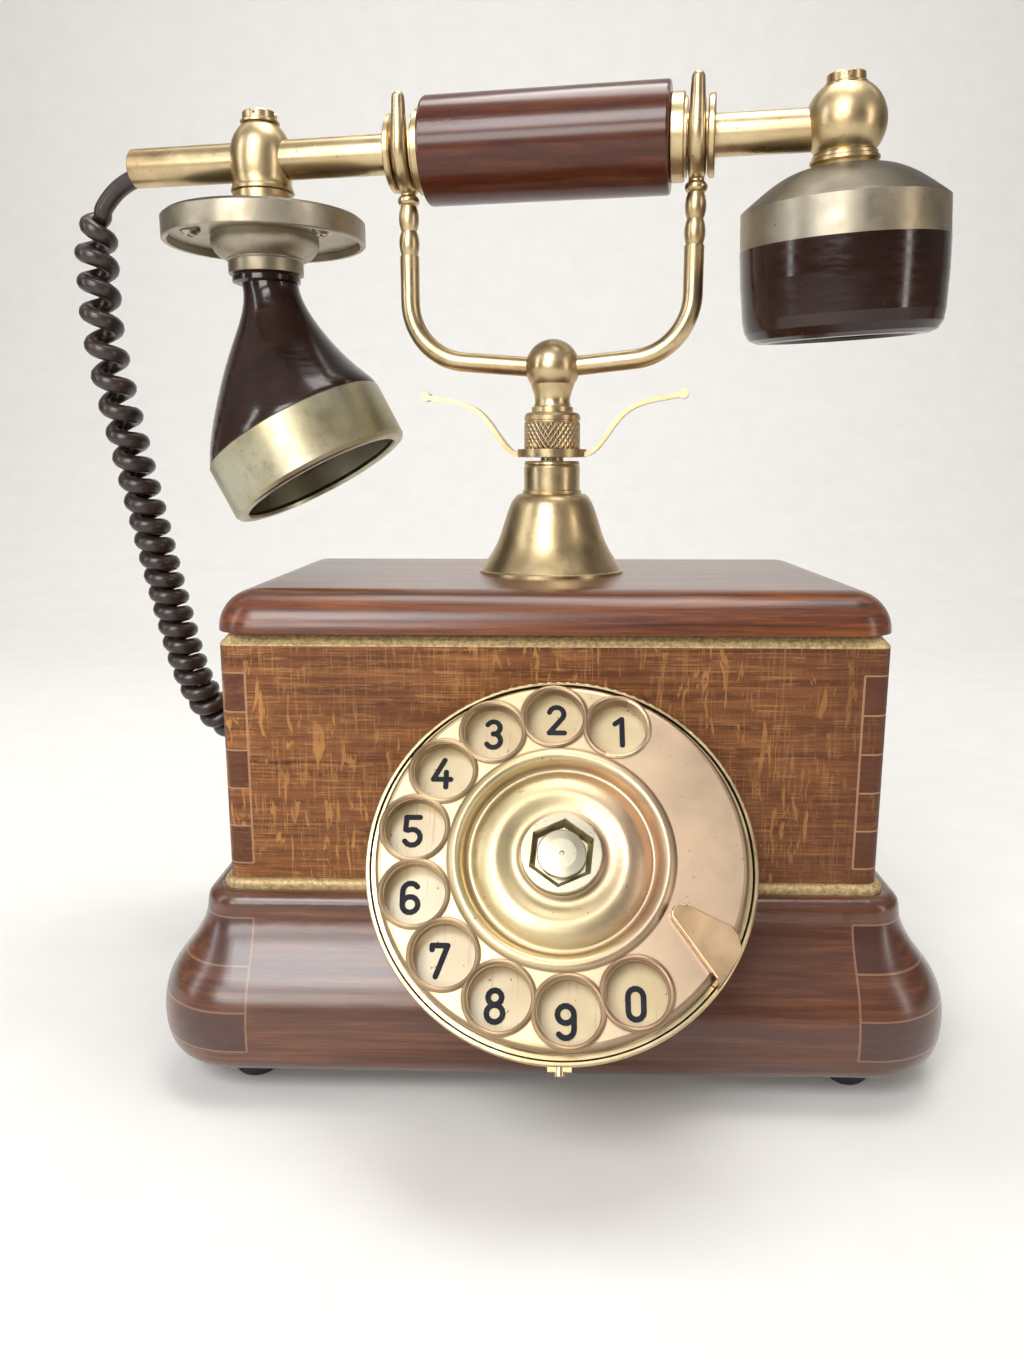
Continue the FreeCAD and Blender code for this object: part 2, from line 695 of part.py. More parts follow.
def digit_strokes(digit):
    """Pen strokes of one numeral, each a list of points in millimetres."""
    six = [arc_points(0, 1.4, 1.6, 35, 180, 6) + [(-1.6, -1.3)],
           arc_points(0, -1.35, 1.6, 0, 360, 14)]
    strokes = {
        0: [arc_points(0, 1.4, 1.5, 0, 180, 7) + arc_points(0, -1.4, 1.5, 180, 360, 7)
            + [(1.5, 1.4)]],
        1: [[(-1.1, 1.9), (0.4, 3.0), (0.4, -3.0)]],
        2: [arc_points(0, 1.4, 1.6, 165, -30, 8) + [(-1.6, -3.0), (1.7, -3.0)]],
        3: [arc_points(-0.1, 1.55, 1.45, 150, -90, 9), arc_points(-0.1, -1.4, 1.6, 90, -150, 9)],
        4: [[(0.4, 3.0), (-1.9, -1.3), (1.8, -1.3)], [(0.8, 0.3), (0.8, -3.0)]],
        5: [[(1.5, 3.0), (-1.3, 3.0), (-1.4, 0.3)] + arc_points(0, -1.3, 1.7, 120, -150, 10)],
        6: six,
        7: [[(-1.5, 2.2), (-1.5, 3.0), (1.6, 3.0), (-0.6, -3.0)]],
        8: [arc_points(0, 1.6, 1.35, 0, 360, 12), arc_points(0, -1.4, 1.6, 0, 360, 14)],
        9: [[(-x, -y) for x, y in stroke] for stroke in six],
    }
    return strokes[digit]


def numeral(digit, x, y):
    """Thin raised numeral drawn with a round pen."""
    pen = 0.55
    low = PLATE_FACE
    high = PLATE_FACE + 0.15
    pieces = []
    for stroke in digit_strokes(digit):
        for x1, y1 in stroke:
            pieces.append(rod(pen, (x1, y1, low), (x1, y1, high)))
        for (x0, y0), (x1, y1) in zip(stroke[:-1], stroke[1:]):
            length = math.hypot(x1 - x0, y1 - y0)
            bar = box(0, length, -pen, pen, low, high)
            bar.rotate(V(0, 0, 0), V(0, 0, 1), math.degrees(math.atan2(y1 - y0, x1 - x0)))
            bar.translate(V(x0, y0, 0))
            pieces.append(bar)
    body = joined(pieces)
    body.translate(V(x, y, 0))
    return body


def dial_digits():
    """Numerals 1 to 9 and 0 beneath the finger holes."""
    pieces = []
    for k in range(10):
        angle = math.radians(HOLE_FIRST - 1.0 + HOLE_PITCH * k)
        x = DIGIT_RING * math.cos(angle)
        y = DIGIT_RING * math.sin(angle)
        pieces.append(numeral((k + 1) % 10, x, y))
    return on_dial(Part.makeCompound(pieces))


def finger_wheel():
    """Pressed wheel: turned-back rim, raised bead, dished centre and ten formed holes."""
    dish = ((8.3, -0.4), (9.6, -0.95), (11.2, -0.7), (13.2, -0.1), (15.2, -0.4), (17.2, -1.4),
            (18.8, -2.2), (19.5, -1.7), (20.1, -0.4), (20.8, 0.5), (21.6, 0.8), (22.4, 0.5),
            (23.2, 0.0))
    rest = ((36.3, 0.0), (36.9, -0.15), (37.35, -0.5), (37.6, -1.1), (37.6, -3.4),
            (36.7, -3.4), (36.7, -1.6), (36.2, -1.2), (22.8, -1.2), (20.9, -1.6),
            (19.8, -3.5), (SHAFT_R, -3.5), (SHAFT_R, -0.4))
    pieces = [turned_smooth(dish, rest)]
    cutters = []
    for k in range(10):
        angle = math.radians(HOLE_FIRST + HOLE_PITCH * k)
        x = HOLE_RING * math.cos(angle)
        y = HOLE_RING * math.sin(angle)
        rim = ((HOLE_R, -2.8), (HOLE_R, -0.1), (6.3, 0.2), (6.7, 0.38), (7.1, 0.2),
               (7.4, -0.2), (7.1, -0.8), (6.9, -2.8))
        pieces.append(turned(rim, x, y))
        cutters.append(rod(HOLE_R, (x, y, -6), (x, y, 6)))
    body = joined(pieces)
    for cutter in cutters:
        body = body.cut(cutter)
    return on_dial(body)


def wheel_hub():
    """Hub ring with a deep six-sided funnel round a pale button."""
    outer = ring(8.25, SHAFT_R, -0.4, 1.9)
    lip = edges_where(outer, lambda e: e.CenterOfMass.z > 1.89 and e.Length > 40)
    outer = outer.makeFillet(0.3, lip)
    funnel = [polygon_wire(hexagon(11.6, 24), -0.15), polygon_wire(hexagon(14.5, 24), 2.1)]
    outer = outer.cut(Part.makeLoft(funnel, True, True))
    button = turned(((0, -0.2), (4.95, -0.2), (4.95, 1.2), (4.75, 1.45), (3.0, 1.6),
                     (0.5, 1.65), (0.3, 1.3), (0, 1.3)))
    cap = rod(5.5, (0, 0, -0.3), (0, 0, -0.1))
    return on_dial(joined([outer, cap, button]))


def gear(teeth, module, low, high, phase, x=0.0, y=0.0):
    """Spur gear with involute flanks and a little backlash."""
    pitch = module * teeth / 2
    base = pitch * math.cos(math.radians(20))
    root = pitch - 1.1 * module
    tip = pitch + 0.8 * module
    radii = [root, max(root, base)]
    radii += [radii[1] + (tip - radii[1]) * k / 3 for k in (1, 2, 3)]
    half = math.pi / (2 * teeth) - 0.06 / pitch
    involute = math.tan(math.radians(20)) - math.radians(20)
    flank = []
    for radius in radii:
        press = math.acos(min(1.0, base / max(radius, base)))
        flank.append((radius, half + involute - (math.tan(press) - press)))
    points = []
    for k in range(teeth):
        centre = math.radians(phase) + 2 * math.pi * k / teeth
        profile = [(r, centre - a) for r, a in flank] + [(r, centre + a) for r, a in flank[::-1]]
        points += [(x + r * math.cos(a), y + r * math.sin(a)) for r, a in profile]
    return prism(points, low, high)


def governor_spot():
    """Centre of the governor in the dial plane."""
    angle = math.radians(GOVERNOR_TURN)
    return GOVERNOR_REACH * math.cos(angle), IDLE_V + GOVERNOR_REACH * math.sin(angle)


def main_gear():
    """Dial shaft with the main gear."""
    shaft = rod(SHAFT_R, (0, 0, -25.8), (0, 0, -0.3))
    return on_dial(joined([shaft, gear(MAIN_TEETH, MAIN_MODULE, -12.0, -10.2, 90)]))


def idle_gear():
    """Pinion driven by the main gear, and the wheel that drives the governor."""
    pinion = gear(PINION_TEETH, MAIN_MODULE, -12.2, -10.0, -90 - 180 / PINION_TEETH, 0, IDLE_V)
    wheel = gear(IDLE_TEETH, IDLE_MODULE, -14.8, -13.2, GOVERNOR_TURN, 0, IDLE_V)
    spacer = rod(3.0, (0, IDLE_V, -14.0), (0, IDLE_V, -11.0))
    shaft = rod(1.2, (0, IDLE_V, -25.8), (0, IDLE_V, -6.9))
    return on_dial(joined([pinion, wheel, spacer, shaft]))


def governor():
    """Governor shaft with its pinion and brake drum."""
    x, y = governor_spot()
    phase = GOVERNOR_TURN + 180 - 180 / PINION_TEETH
    pinion = gear(PINION_TEETH, IDLE_MODULE, -15.0, -13.0, phase, x, y)
    drum = rod(8.0, (x, y, -22.5), (x, y, -16.5))
    weights = box(x - 6.5, x + 6.5, y - 1.5, y + 1.5, -23.6, -22.0)
    shaft = rod(1.0, (x, y, -25.8), (x, y, -6.9))
    return on_dial(joined([pinion, drum, weights, shaft]))


def dial_chassis():
    """Bearing plate and bridge of the dial works, with the pulse contact block."""
    plate = rod(38.3, (0, 0, -8.0), (0, 0, -6.8))
    bridge = rod(30.0, (0, 0, -26.0), (0, 0, -24.8))
    pieces = [plate, bridge, box(-14, 0, -33, -24, -18, -7.5)]
    for angle in (140, 200, 320):
        x = 27 * math.cos(math.radians(angle))
        y = 27 * math.sin(math.radians(angle))
        pieces.append(rod(1.8, (x, y, -25.0), (x, y, -7.5)))
    for angle in (10, 130, 250):
        x = 34 * math.cos(math.radians(angle))
        y = 34 * math.sin(math.radians(angle))
        pieces.append(rod(2.0, (x, y, -7.5), (x, y, -5.6)))
    body = joined(pieces)
    x, y = governor_spot()
    for radius, cx, cy in ((SHAFT_R + 0.06, 0, 0), (1.26, 0, IDLE_V), (1.06, x, y)):
        body = body.cut(rod(radius, (cx, cy, -30), (cx, cy, -4)))
    return on_dial(body)


# ---- ringer and circuit ---------------------------------------------------------------

GONG_X = 31.0
GONG_Y = 19.0
CLAPPER_Y = -7.0


def ringer_gongs():
    """Two shallow gongs, each a spun bowl on its post."""
    outline = ((2.6, 36.0), (9.0, 36.0), (16.0, 34.6), (20.5, 31.4), (22.0, 26.5),
               (20.9, 26.5), (19.5, 30.8), (15.6, 33.5), (8.8, 34.8), (2.6, 34.8))
    return Part.makeCompound([turned(outline, side * GONG_X, GONG_Y) for side in (-1, 1)])


def ringer_motor():
    """Ringer frame with its two coils, the clapper post and the gong posts."""
    floor = FLOOR_LOW + FLOOR_THICK
    pieces = [box(-36, 36, -26, 22, floor, floor + 1.6)]
    for side in (-1, 1):
        pieces.append(rod(2.5, (side * GONG_X, GONG_Y, floor), (side * GONG_X, GONG_Y, 37.5)))
        pieces.append(rod(3.4, (side * GONG_X, GONG_Y, 36.0), (side * GONG_X, GONG_Y, 38.0)))
        pieces.append(rod(8.5, (side * 5, -16, 22), (side * 26, -16, 22)))
        pieces.append(box(side * 26 - 1, side * 26 + 1, -25, -7, floor, 32))
    pieces.append(box(-6, 6, -25, -12, floor, 22))
    pieces.append(rod(1.2, (0, CLAPPER_Y, floor), (0, CLAPPER_Y, 36.0)))
    return joined(pieces)


def ringer_clapper():
    """Armature, rod and ball that swing between the gongs."""
    arm = box(-9, 9, CLAPPER_Y - 1.2, CLAPPER_Y + 1.2, 31.5, 34.0)
    boss = rod(3.0, (0, CLAPPER_Y, 31.0), (0, CLAPPER_Y, 34.5))
    stem = rod(0.9, (0, CLAPPER_Y, 32.5), (0, GONG_Y, 28.5))
    ball = Part.makeSphere(3.2, V(0, GONG_Y, 28.5))
    body = joined([arm, boss, stem, ball])
    return body.cut(rod(1.26, (0, CLAPPER_Y, 20), (0, CLAPPER_Y, 40)))


def induction_coil():
    """Wound coil with end cheeks on the back board."""
    wall = CASE_HALF_Y - BOARD
    y = wall - 11
    pieces = [rod(8.5, (18, y, 72), (58, y, 72))]
    for x in (18, 56):
        pieces.append(box(x, x + 2, y - 10, wall, 61, 83))
    return joined(pieces)


def terminal_block():
    """Block with four terminal screws for the cords."""
    floor = FLOOR_LOW + FLOOR_THICK
    body = box(-64, -60, -36, 24, floor + 1, floor + 11)
    base = box(-66, -44, -38, -30, floor, floor + 10)
    screws = [rod(1.8, (-62, y, floor + 10), (-62, y, floor + 13)) for y in (-24, -10, 4, 18)]
    return joined([body, base] + screws)


# ---- handset --------------------------------------------------------------------------


def handset_tube():
    """Brass tube through the whole handset; the cord enters its open left end."""
    body = rod(TUBE_R, (TUBE_LEFT, 0, AXIS_Z), (TUBE_RIGHT, 0, AXIS_Z))
    lip = edges_where(body, lambda e: e.CenterOfMass.x < TUBE_LEFT + 0.01)
    body = body.makeFillet(0.5, lip)
    return on_cradle(body.cut(rod(TUBE_BORE, (TUBE_LEFT - 1, 0, AXIS_Z), (60, 0, AXIS_Z))))


def grip():
    """Polished hand grip with softened ends."""
    long = GRIP_RIGHT - GRIP_LEFT
    outline = ((TUBE_R, 0), (GRIP_R - 0.6, 0), (GRIP_R - 0.2, 0.2), (GRIP_R, 0.7),
               (GRIP_R, long - 0.7), (GRIP_R - 0.2, long - 0.2), (GRIP_R - 0.6, long),
               (TUBE_R, long))
    return on_cradle(along_x(turned(outline), GRIP_LEFT, AXIS_Z))


def spool(side, grip_end, groove):
    """Collar, rest groove and outer disc at one end of the grip."""
    low = abs(grip_end - groove)
    outline = ((TUBE_R, 0), (9.6, 0), (10.0, 0.4), (10.0, low - 0.8), (9.6, low - 0.5),
               (8.9, low - 0.4), (8.9, low), (5.5, low), (5.5, low + 5.0), (8.8, low + 5.0),
               (9.25, low + 5.4), (9.25, low + 6.4), (8.9, low + 6.7), (TUBE_R, low + 6.7))
    body = turned(outline)
    if side < 0:
        body.rotate(V(0, 0, 0), V(1, 0, 0), 180)
    return along_x(body, grip_end, AXIS_Z)


def grip_spools():
    left = spool(-1, GRIP_LEFT, GROOVE_LEFT)
    right = spool(1, GRIP_RIGHT, GROOVE_RIGHT)
    return on_cradle(Part.makeCompound([left, right]))


def shank():
    """Space that the handset tube takes in both balls."""
    return rod(TUBE_R, (TUBE_LEFT, 0, AXIS_Z), (TUBE_RIGHT, 0, AXIS_Z))


def on_ear(shape):
    """Set an upright piece at the ear piece's lean and swing about the tube, then turn it."""
    body = shape.copy()
    centre = V(EAR_X, 0, AXIS_Z)
    body.rotate(centre, V(0, 1, 0), -EAR_LEAN)
    body.rotate(centre, V(1, 0, 0), EAR_SWING)
    return on_cradle(body)


def mouth_ball():
    """Tall rounded body on a stepped, flared foot, bored for the tube."""
    curve = ((8.0, 214.6), (7.6, 216.4), (7.9, 218.6), (8.1, 221.5), (7.9, 224.2),
             (7.2, 226.7), (5.9, 228.8), (4.3, MOUTH_NUT_Z))
    close = ((0, MOUTH_NUT_Z), (0, 208.2), (9.7, 208.2), (9.0, 209.0), (8.3, 210.4),
             (7.9, 212.0), (7.7, 213.4), (8.2, 213.8))
    return on_cradle(turned_smooth_at(curve, close, MOUTH_X).cut(shank()))


def ear_ball():
    """Ball on a stepped foot, cut flat for its nut and bored for the tube."""
    centre = EAR_BALL_Z
    sphere = Part.makeSphere(EAR_BALL_R, V(EAR_X, 0, centre))
    sphere = sphere.cut(box(EAR_X - 12, EAR_X + 12, -12, 12, EAR_NUT_Z, EAR_NUT_Z + 9))
    foot = turned(((0, 212.6), (8.0, 212.6), (7.4, centre - 8.9), (8.1, centre - 8.5),
                   (8.1, centre - 7.8), (7.6, centre - 7.5), (7.6, centre - 6.9),
                   (6.9, centre - 6.0), (0, centre - 6.0)), EAR_X)
    return on_ear(joined([sphere, foot])).cut(on_cradle(shank()))


def slotted_nut(x, low):
    """Round nut with two crossed slots on top."""
    body = turned(((0, low), (5.1, low), (5.1, low + 0.5), (4.5, low + 0.9),
                   (4.5, low + 2.5), (4.2, low + 2.8), (0, low + 2.8)), x)
    for x0, x1, y0, y1 in ((x - 6, x + 6, -0.9, 0.9), (x - 0.9, x + 0.9, -6, 6)):
        slot = box(x0, x1, y0, y1, low + 1.5, low + 4)
        body = body.cut(slot.cut(rod(2.6, (x, 0, low), (x, 0, low + 5))))
    return body


def ball_nuts():
    return Part.makeCompound([on_cradle(slotted_nut(MOUTH_X, MOUTH_NUT_Z)),
                              on_ear(slotted_nut(EAR_X, EAR_NUT_Z))])


def ear_cap():
    """Domed brass cap and band over the receiver cup."""
    curve = ((10.0, 212.6), (13.6, 211.5), (17.2, 209.6), (20.6, 207.2), (23.5, 205.0))
    close = ((24.2, 204.4), (24.4, 195.7), (23.1, 195.7), (23.0, 202.9), (9.0, 210.6),
             (0, 210.6), (0, 212.6))
    return on_ear(turned_smooth_at(curve, close, EAR_X))


def ear_cup():
    """Receiver cup of dark moulded resin with a sunk, pierced ear face."""
    outline = ((22.9, 202.7), (23.0, 195.7), (24.5, 195.7), (24.4, 188.0), (23.9, 179.4),
               (23.4, 176.8), (22.2, 175.0), (20.4, 174.2), (18.2, 174.1), (17.2, 174.8),
               (15.6, 177.1), (0, 177.4), (0, 179.4), (19.6, 179.4), (20.9, 181.2),
               (20.8, 202.7))
    body = turned(outline, EAR_X)
    for k in range(6):
        angle = math.radians(60 * k)
        x = EAR_X + 6.5 * math.cos(angle)
        y = 6.5 * math.sin(angle)
        body = body.cut(rod(1.3, (x, y, 172), (x, y, 180)))
    return on_ear(body.cut(rod(1.3, (EAR_X, 0, 172), (EAR_X, 0, 180))))


def receiver_capsule():
    """Receiver insert inside the cup."""
    outline = ((0, 184.0), (16.0, 184.0), (20.2, 186.0), (20.2, 190.0), (14.0, 192.0),
               (14.0, 199.0), (0, 199.0))
    return on_ear(turned(outline, EAR_X))


def mouth_disc():
    """Flat brass cover with a deep rim over the horn mount."""
    rim = MOUTH_DISC_R
    outline = ((0, 208.2), (9.8, 208.2), (rim - 4.0, 207.7), (rim - 1.0, 207.3), (rim, 206.5),
               (rim, 201.4), (rim - 0.3, 201.1), (rim - 1.4, 201.1), (rim - 1.5, 205.2), (0, 205.2))
    return on_cradle(turned(outline, MOUTH_X))


def mouth_boss():
    """Screwed plate under the cover, its domed boss and the collar that holds the horn."""
    curve = ((13.9, 203.0), (14.1, 201.2), (13.3, 199.2), (11.6, 197.6), (10.2, 197.0))
    close = ((10.2, 196.8), (9.8, 196.5), (9.8, 193.4), (5.0, 193.4), (5.0, 205.2),
             (24.7, 205.2), (24.7, 203.0))
    return on_cradle(turned_smooth_at(curve, close, MOUTH_X))


def turned_smooth_at(curve, close, x):
    """Smooth turned solid moved along X."""
    body = turned_smooth(curve, close)
    body.translate(V(x, 0, 0))
    return body


def mouth_screws():
    """Three cross-head screws in the plate."""
    screws = []
    for angle in (221, 341, 101):
        x = MOUTH_X + 19.5 * math.cos(math.radians(angle))
        y = 19.5 * math.sin(math.radians(angle))
        head = turned(((0, 201.2), (1.7, 201.4), (2.6, 202.3), (2.6, 203.0), (0, 203.0)), x, y)
        for dx, dy in ((1.6, 0.3), (0.3, 1.6)):
            head = head.cut(box(x - dx, x + dx, y - dy, y + dy, 201, 202.1))
        screws.append(head)
    return on_cradle(Part.makeCompound(screws))


def horn_circle(x, z, radius, tilt):
    """Section circle of the horn."""
    lean = math.radians(tilt)
    return Part.Wire(Part.makeCircle(radius, V(x, 0, z), V(math.sin(lean), 0, -math.cos(lean))))


def horn():
    """Curved bakelite horn with its neck ring, hollow right through."""
    outer = Part.makeLoft([horn_circle(*step) for step in HORN_STEPS], True)
    inner = Part.makeLoft([horn_circle(x, z, r - 2.4, t) for x, z, r, t in HORN_STEPS], True)
    neck = turned(((4.8, 190.9), (7.6, 190.9), (8.9, 191.4), (8.9, 192.6), (8.4, 193.4),
                   (4.8, 193.4)), MOUTH_X)
    return on_cradle(joined([outer.cut(inner), neck]))


def on_horn(shape):
    """Carry a shape turned about Z (mouth towards +Z) to the horn's mouth."""
    body = shape.copy()
    body.rotate(V(0, 0, 0), V(0, 1, 0), 180 - HORN_TILT)
    x, z, radius, tilt = HORN_STEPS[-1]
    body.translate(V(x, 0, z))
    return on_cradle(body)


def horn_band():
    """Brass band round the mouth with a small turned-in lip."""
    long = HORN_BAND_LONG
    outline = ((23.2, 0), (25.1, 0), (25.5, 0.4), (25.5, long - 1.2), (24.9, long - 0.3),
               (23.9, long), (22.3, long), (22.1, long - 0.8), (23.2, long - 2.0))
    return on_horn(turned(outline))


def transmitter_capsule():
    """Transmitter insert set back in the mouth, with a pierced front."""
    outline = ((0, 1.0), (14.0, 1.0), (18.0, 2.0), (23.15, 3.0), (23.15, 7.0), (21.4, 8.0),
               (18.8, 7.6), (0, 8.6))
    body = turned(outline)
    for count, radius in ((6, 7.0), (12, 13.0)):
        for k in range(count):
            angle = 2 * math.pi * k / count
            x = radius * math.cos(angle)
            y = radius * math.sin(angle)
            body = body.cut(rod(1.1, (x, y, 6.0), (x, y, 10.0)))
    return on_horn(body)


# ---- cord -----------------------------------------------------------------------------


def cord_tail():
    """Straight lead from inside the tube to the start of the curls."""
    wire = route_wire([(x, 0, z) for x, z in TAIL_POINTS])
    return on_cradle(swept(wire, WIRE_R))


def cord_coil():
    """Space taken by the curled cord, from the handset lead to the case lead."""
    wire = route_wire(COIL_POINTS)
    print("coil route %.1f mm" % wire.Length)
    return swept(wire, COIL_R)


def cord_end():
    """Straight lead from the curls into the rear gland."""
    return swept(route_wire(END_POINTS), WIRE_R)


NODES = (front_board, back_board, left_board, right_board, top_slab, gilt_cove, gilt_bead,
         base_front, base_back, base_left, base_right, floor_plate, rubber_feet,
         line_cord_gland, handset_cord_gland, column_bell, plunger_rod, wing_ring,
         knurled_collar, cradle_ball, fork_rod, fork_beads, cradle_prongs, hook_lever,
         hook_contacts, dial_cup, dial_ring, number_plate, dial_digits, finger_stop,
         dial_chassis,
         finger_wheel, wheel_hub, main_gear, idle_gear, governor, ringer_gongs,
         ringer_motor, ringer_clapper, induction_coil, terminal_block, handset_tube, grip,
         grip_spools, mouth_ball, ear_ball, ball_nuts, ear_cap, ear_cup, receiver_capsule,
         mouth_disc, mouth_boss, mouth_screws, horn, horn_band, transmitter_capsule,
         cord_tail, cord_coil, cord_end)


def main():
    os.makedirs("parts", exist_ok=True)
    for make in NODES:
        shape = make()
        shape.translate(ORIGIN_SHIFT)
        state = "ok" if shape.isValid() and shape.Solids else "BAD"
        print("%-20s %s solids %d volume %.1f" % (make.__name__, state, len(shape.Solids),
                                                  shape.Volume))
        shape.exportStep("parts/%s.step" % make.__name__)


main()
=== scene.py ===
"""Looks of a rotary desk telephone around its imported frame. Metres, +Z up, dial towards -Y."""

import math

import bmesh
import bpy
from mathutils import Euler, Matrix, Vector


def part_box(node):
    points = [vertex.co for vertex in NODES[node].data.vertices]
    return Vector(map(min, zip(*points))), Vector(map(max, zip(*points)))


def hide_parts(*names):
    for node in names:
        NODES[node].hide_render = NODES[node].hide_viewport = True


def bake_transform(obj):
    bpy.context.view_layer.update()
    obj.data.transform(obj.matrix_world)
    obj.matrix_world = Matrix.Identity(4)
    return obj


MM = 0.001

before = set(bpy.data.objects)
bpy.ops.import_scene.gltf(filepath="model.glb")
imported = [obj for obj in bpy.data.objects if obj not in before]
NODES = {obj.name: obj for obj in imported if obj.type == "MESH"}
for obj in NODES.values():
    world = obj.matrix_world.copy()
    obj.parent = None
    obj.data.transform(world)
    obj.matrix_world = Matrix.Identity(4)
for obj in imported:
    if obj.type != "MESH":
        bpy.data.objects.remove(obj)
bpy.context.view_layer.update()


def middle(node):
    """Centre of a CAD node's box."""
    low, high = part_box(node)
    return (low + high) / 2


# Places on the object, read from the frame
COLUMN = Vector((middle("column_bell").x, middle("column_bell").y, 0))
HUB = middle("wheel_hub")
GRIP = middle("grip")

# The handset's turn about the column and the dial's lean, in degrees
CRADLE_YAW = -9.3
DIAL_TILT = 36.3

# Corner joints: how far from the middle the fingers start, and the heights of their edges, in
# millimetres
BODY_JOINT = 69.5
BODY_FINGERS = [52.4 + 9.05 * k for k in range(6)]
BASE_JOINT = 68.5
BASE_FINGERS = (13.6, 22.8, 31.8, 41.2)

# Finger wheel: angle of the first hole and from hole to hole, the last hole counted from 0, and
# in millimetres the circle that the holes lie on, the radius of a hole's rim, and the radius and
# width of each ring of brown tarnish and painted shade
FIRST_HOLE = math.radians(66.9)
HOLE_STEP = math.radians(25.7)
LAST_HOLE = 9.0
HOLE_CIRCLE = 30.3
HOLE_RIM = 6.7
DARK_RINGS = ((19.5, 0.9), (22.9, 0.6), (37.3, 0.8), (8.8, 0.9))

# Varnish run on the grip: its middle along and above the grip's axis, half its length and height
RUN_ALONG = -22 * MM
RUN_UP = 3.2 * MM
RUN_HALF_LENGTH = 8.0 * MM
RUN_HALF_HEIGHT = 0.8 * MM

# Red speck on the number plate: place from the hub, and radius
RED_SPECK = Vector((8.5, -18.5, -21.5)) * MM
RED_RADIUS = 1.1 * MM

# Oak: height over which the flecks go from slanted to upright
FLECK_TURN = (0.066, 0.082)

# Knurled collar: ridges round it, radians of ridge pattern per metre up it, and where they end
KNURLS_ROUND = 32.0
KNURLS_UP = 3200.0
KNURL_TOP = 154.5 * MM

# Floor and backdrop: front edge, start of the sweep, its radius and steps, top and half width
FLOOR_FRONT = -1.6
SWEEP_START = 0.55
SWEEP_RADIUS = 0.6
SWEEP_STEPS = 12
BACKDROP_TOP = 2.4
FLOOR_HALF = 2.4

# Camera: where the eye stands from the column's foot, and where it looks
EYE = Vector((-2.3, -283.6, 142.4)) * MM
LOOK_DOWN = 11.28
LOOK_LEFT = 1.65
LENS = 37.3

# Cord: the wire's diameter, and the curls' outside diameter
WIRE = 4.7 * MM
CURL = 11.6 * MM


# ---- scene ----------------------------------------------------------------------------


def add_camera():
    """Camera in front of the dial, looking down a little."""
    camera = bpy.data.objects.new("camera", bpy.data.cameras.new("camera"))
    camera.data.lens = LENS
    camera.data.sensor_fit = "HORIZONTAL"
    camera.data.sensor_width = 36
    camera.data.clip_start = 0.01
    camera.location = COLUMN + EYE
    camera.rotation_euler = Euler((math.radians(90 - LOOK_DOWN), 0, math.radians(LOOK_LEFT)))
    bpy.context.scene.collection.objects.link(camera)
    bpy.context.scene.camera = camera


def add_lamp(name, place, target, size, watts, colour):
    """Rectangular softbox at place, facing target."""
    lamp = bpy.data.lights.new(name, "AREA")
    lamp.shape = "RECTANGLE"
    lamp.size, lamp.size_y = size
    lamp.energy = watts
    lamp.color = colour
    holder = bpy.data.objects.new(name, lamp)
    holder.location = COLUMN + Vector(place)
    aim = Vector(target) - Vector(place)
    holder.rotation_euler = aim.to_track_quat("-Z", "Y").to_euler()
    bpy.context.scene.collection.objects.link(holder)


def add_world():
    """Dim warm room, paler overhead, and a plain pale surround where the view leaves the floor."""
    bpy.context.scene.view_settings.view_transform = "Standard"
    world = bpy.data.worlds.new("studio")
    world.use_nodes = True
    tree = world.node_tree
    place = tree.nodes.new("ShaderNodeTexCoord")
    split = tree.nodes.new("ShaderNodeSeparateXYZ")
    ramp = tree.nodes.new("ShaderNodeValToRGB")
    tree.links.new(place.outputs["Generated"], split.inputs[0])
    tree.links.new(split.outputs["Z"], ramp.inputs["Fac"])
    low, high = ramp.color_ramp.elements
    low.position = 0.0
    low.color = (0.10, 0.070, 0.050, 1)
    high.position = 0.9
    high.color = (0.95, 0.93, 0.90, 1)
    room = tree.nodes["Background"]
    tree.links.new(ramp.outputs["Color"], room.inputs["Color"])
    room.inputs["Strength"].default_value = 0.42
    surround = tree.nodes.new("ShaderNodeBackground")
    surround.inputs["Color"].default_value = (0.88, 0.87, 0.85, 1)
    path = tree.nodes.new("ShaderNodeLightPath")
    seen = tree.nodes.new("ShaderNodeMixShader")
    tree.links.new(path.outputs["Is Camera Ray"], seen.inputs[0])
    tree.links.new(room.outputs[0], seen.inputs[1])
    tree.links.new(surround.outputs[0], seen.inputs[2])
    tree.links.new(seen.outputs[0], tree.nodes["World Output"].inputs["Surface"])
    bpy.context.scene.world = world


def add_lights():
    """A high window in front, narrow side lights, one overhead and a wash on the backdrop."""
    target = (0, 0, 0.12)
    add_lamp("window", (-0.28, -0.80, 0.80), target, (0.46, 0.38), 6.3, (0.96, 0.98, 1.0))
    add_lamp("low_window", (-0.40, -0.98, 0.40), target, (0.60, 0.26), 4.4, (1.0, 0.98, 0.95))
    add_lamp("side", (-0.85, -0.30, 0.45), target, (0.10, 0.7), 1.6, (0.94, 0.97, 1.0))
    add_lamp("fill", (0.80, -0.50, 0.35), target, (0.10, 0.6), 1.3, (1.0, 0.93, 0.86))
    add_lamp("top", (0.05, 0.05, 0.95), target, (0.6, 0.35), 4.0, (1.0, 0.98, 0.95))
    add_lamp("wall_wash", (0.0, 0.25, 0.9), (0, 1.2, 0.3), (1.6, 0.4), 5.5, (1.0, 0.99, 0.97))


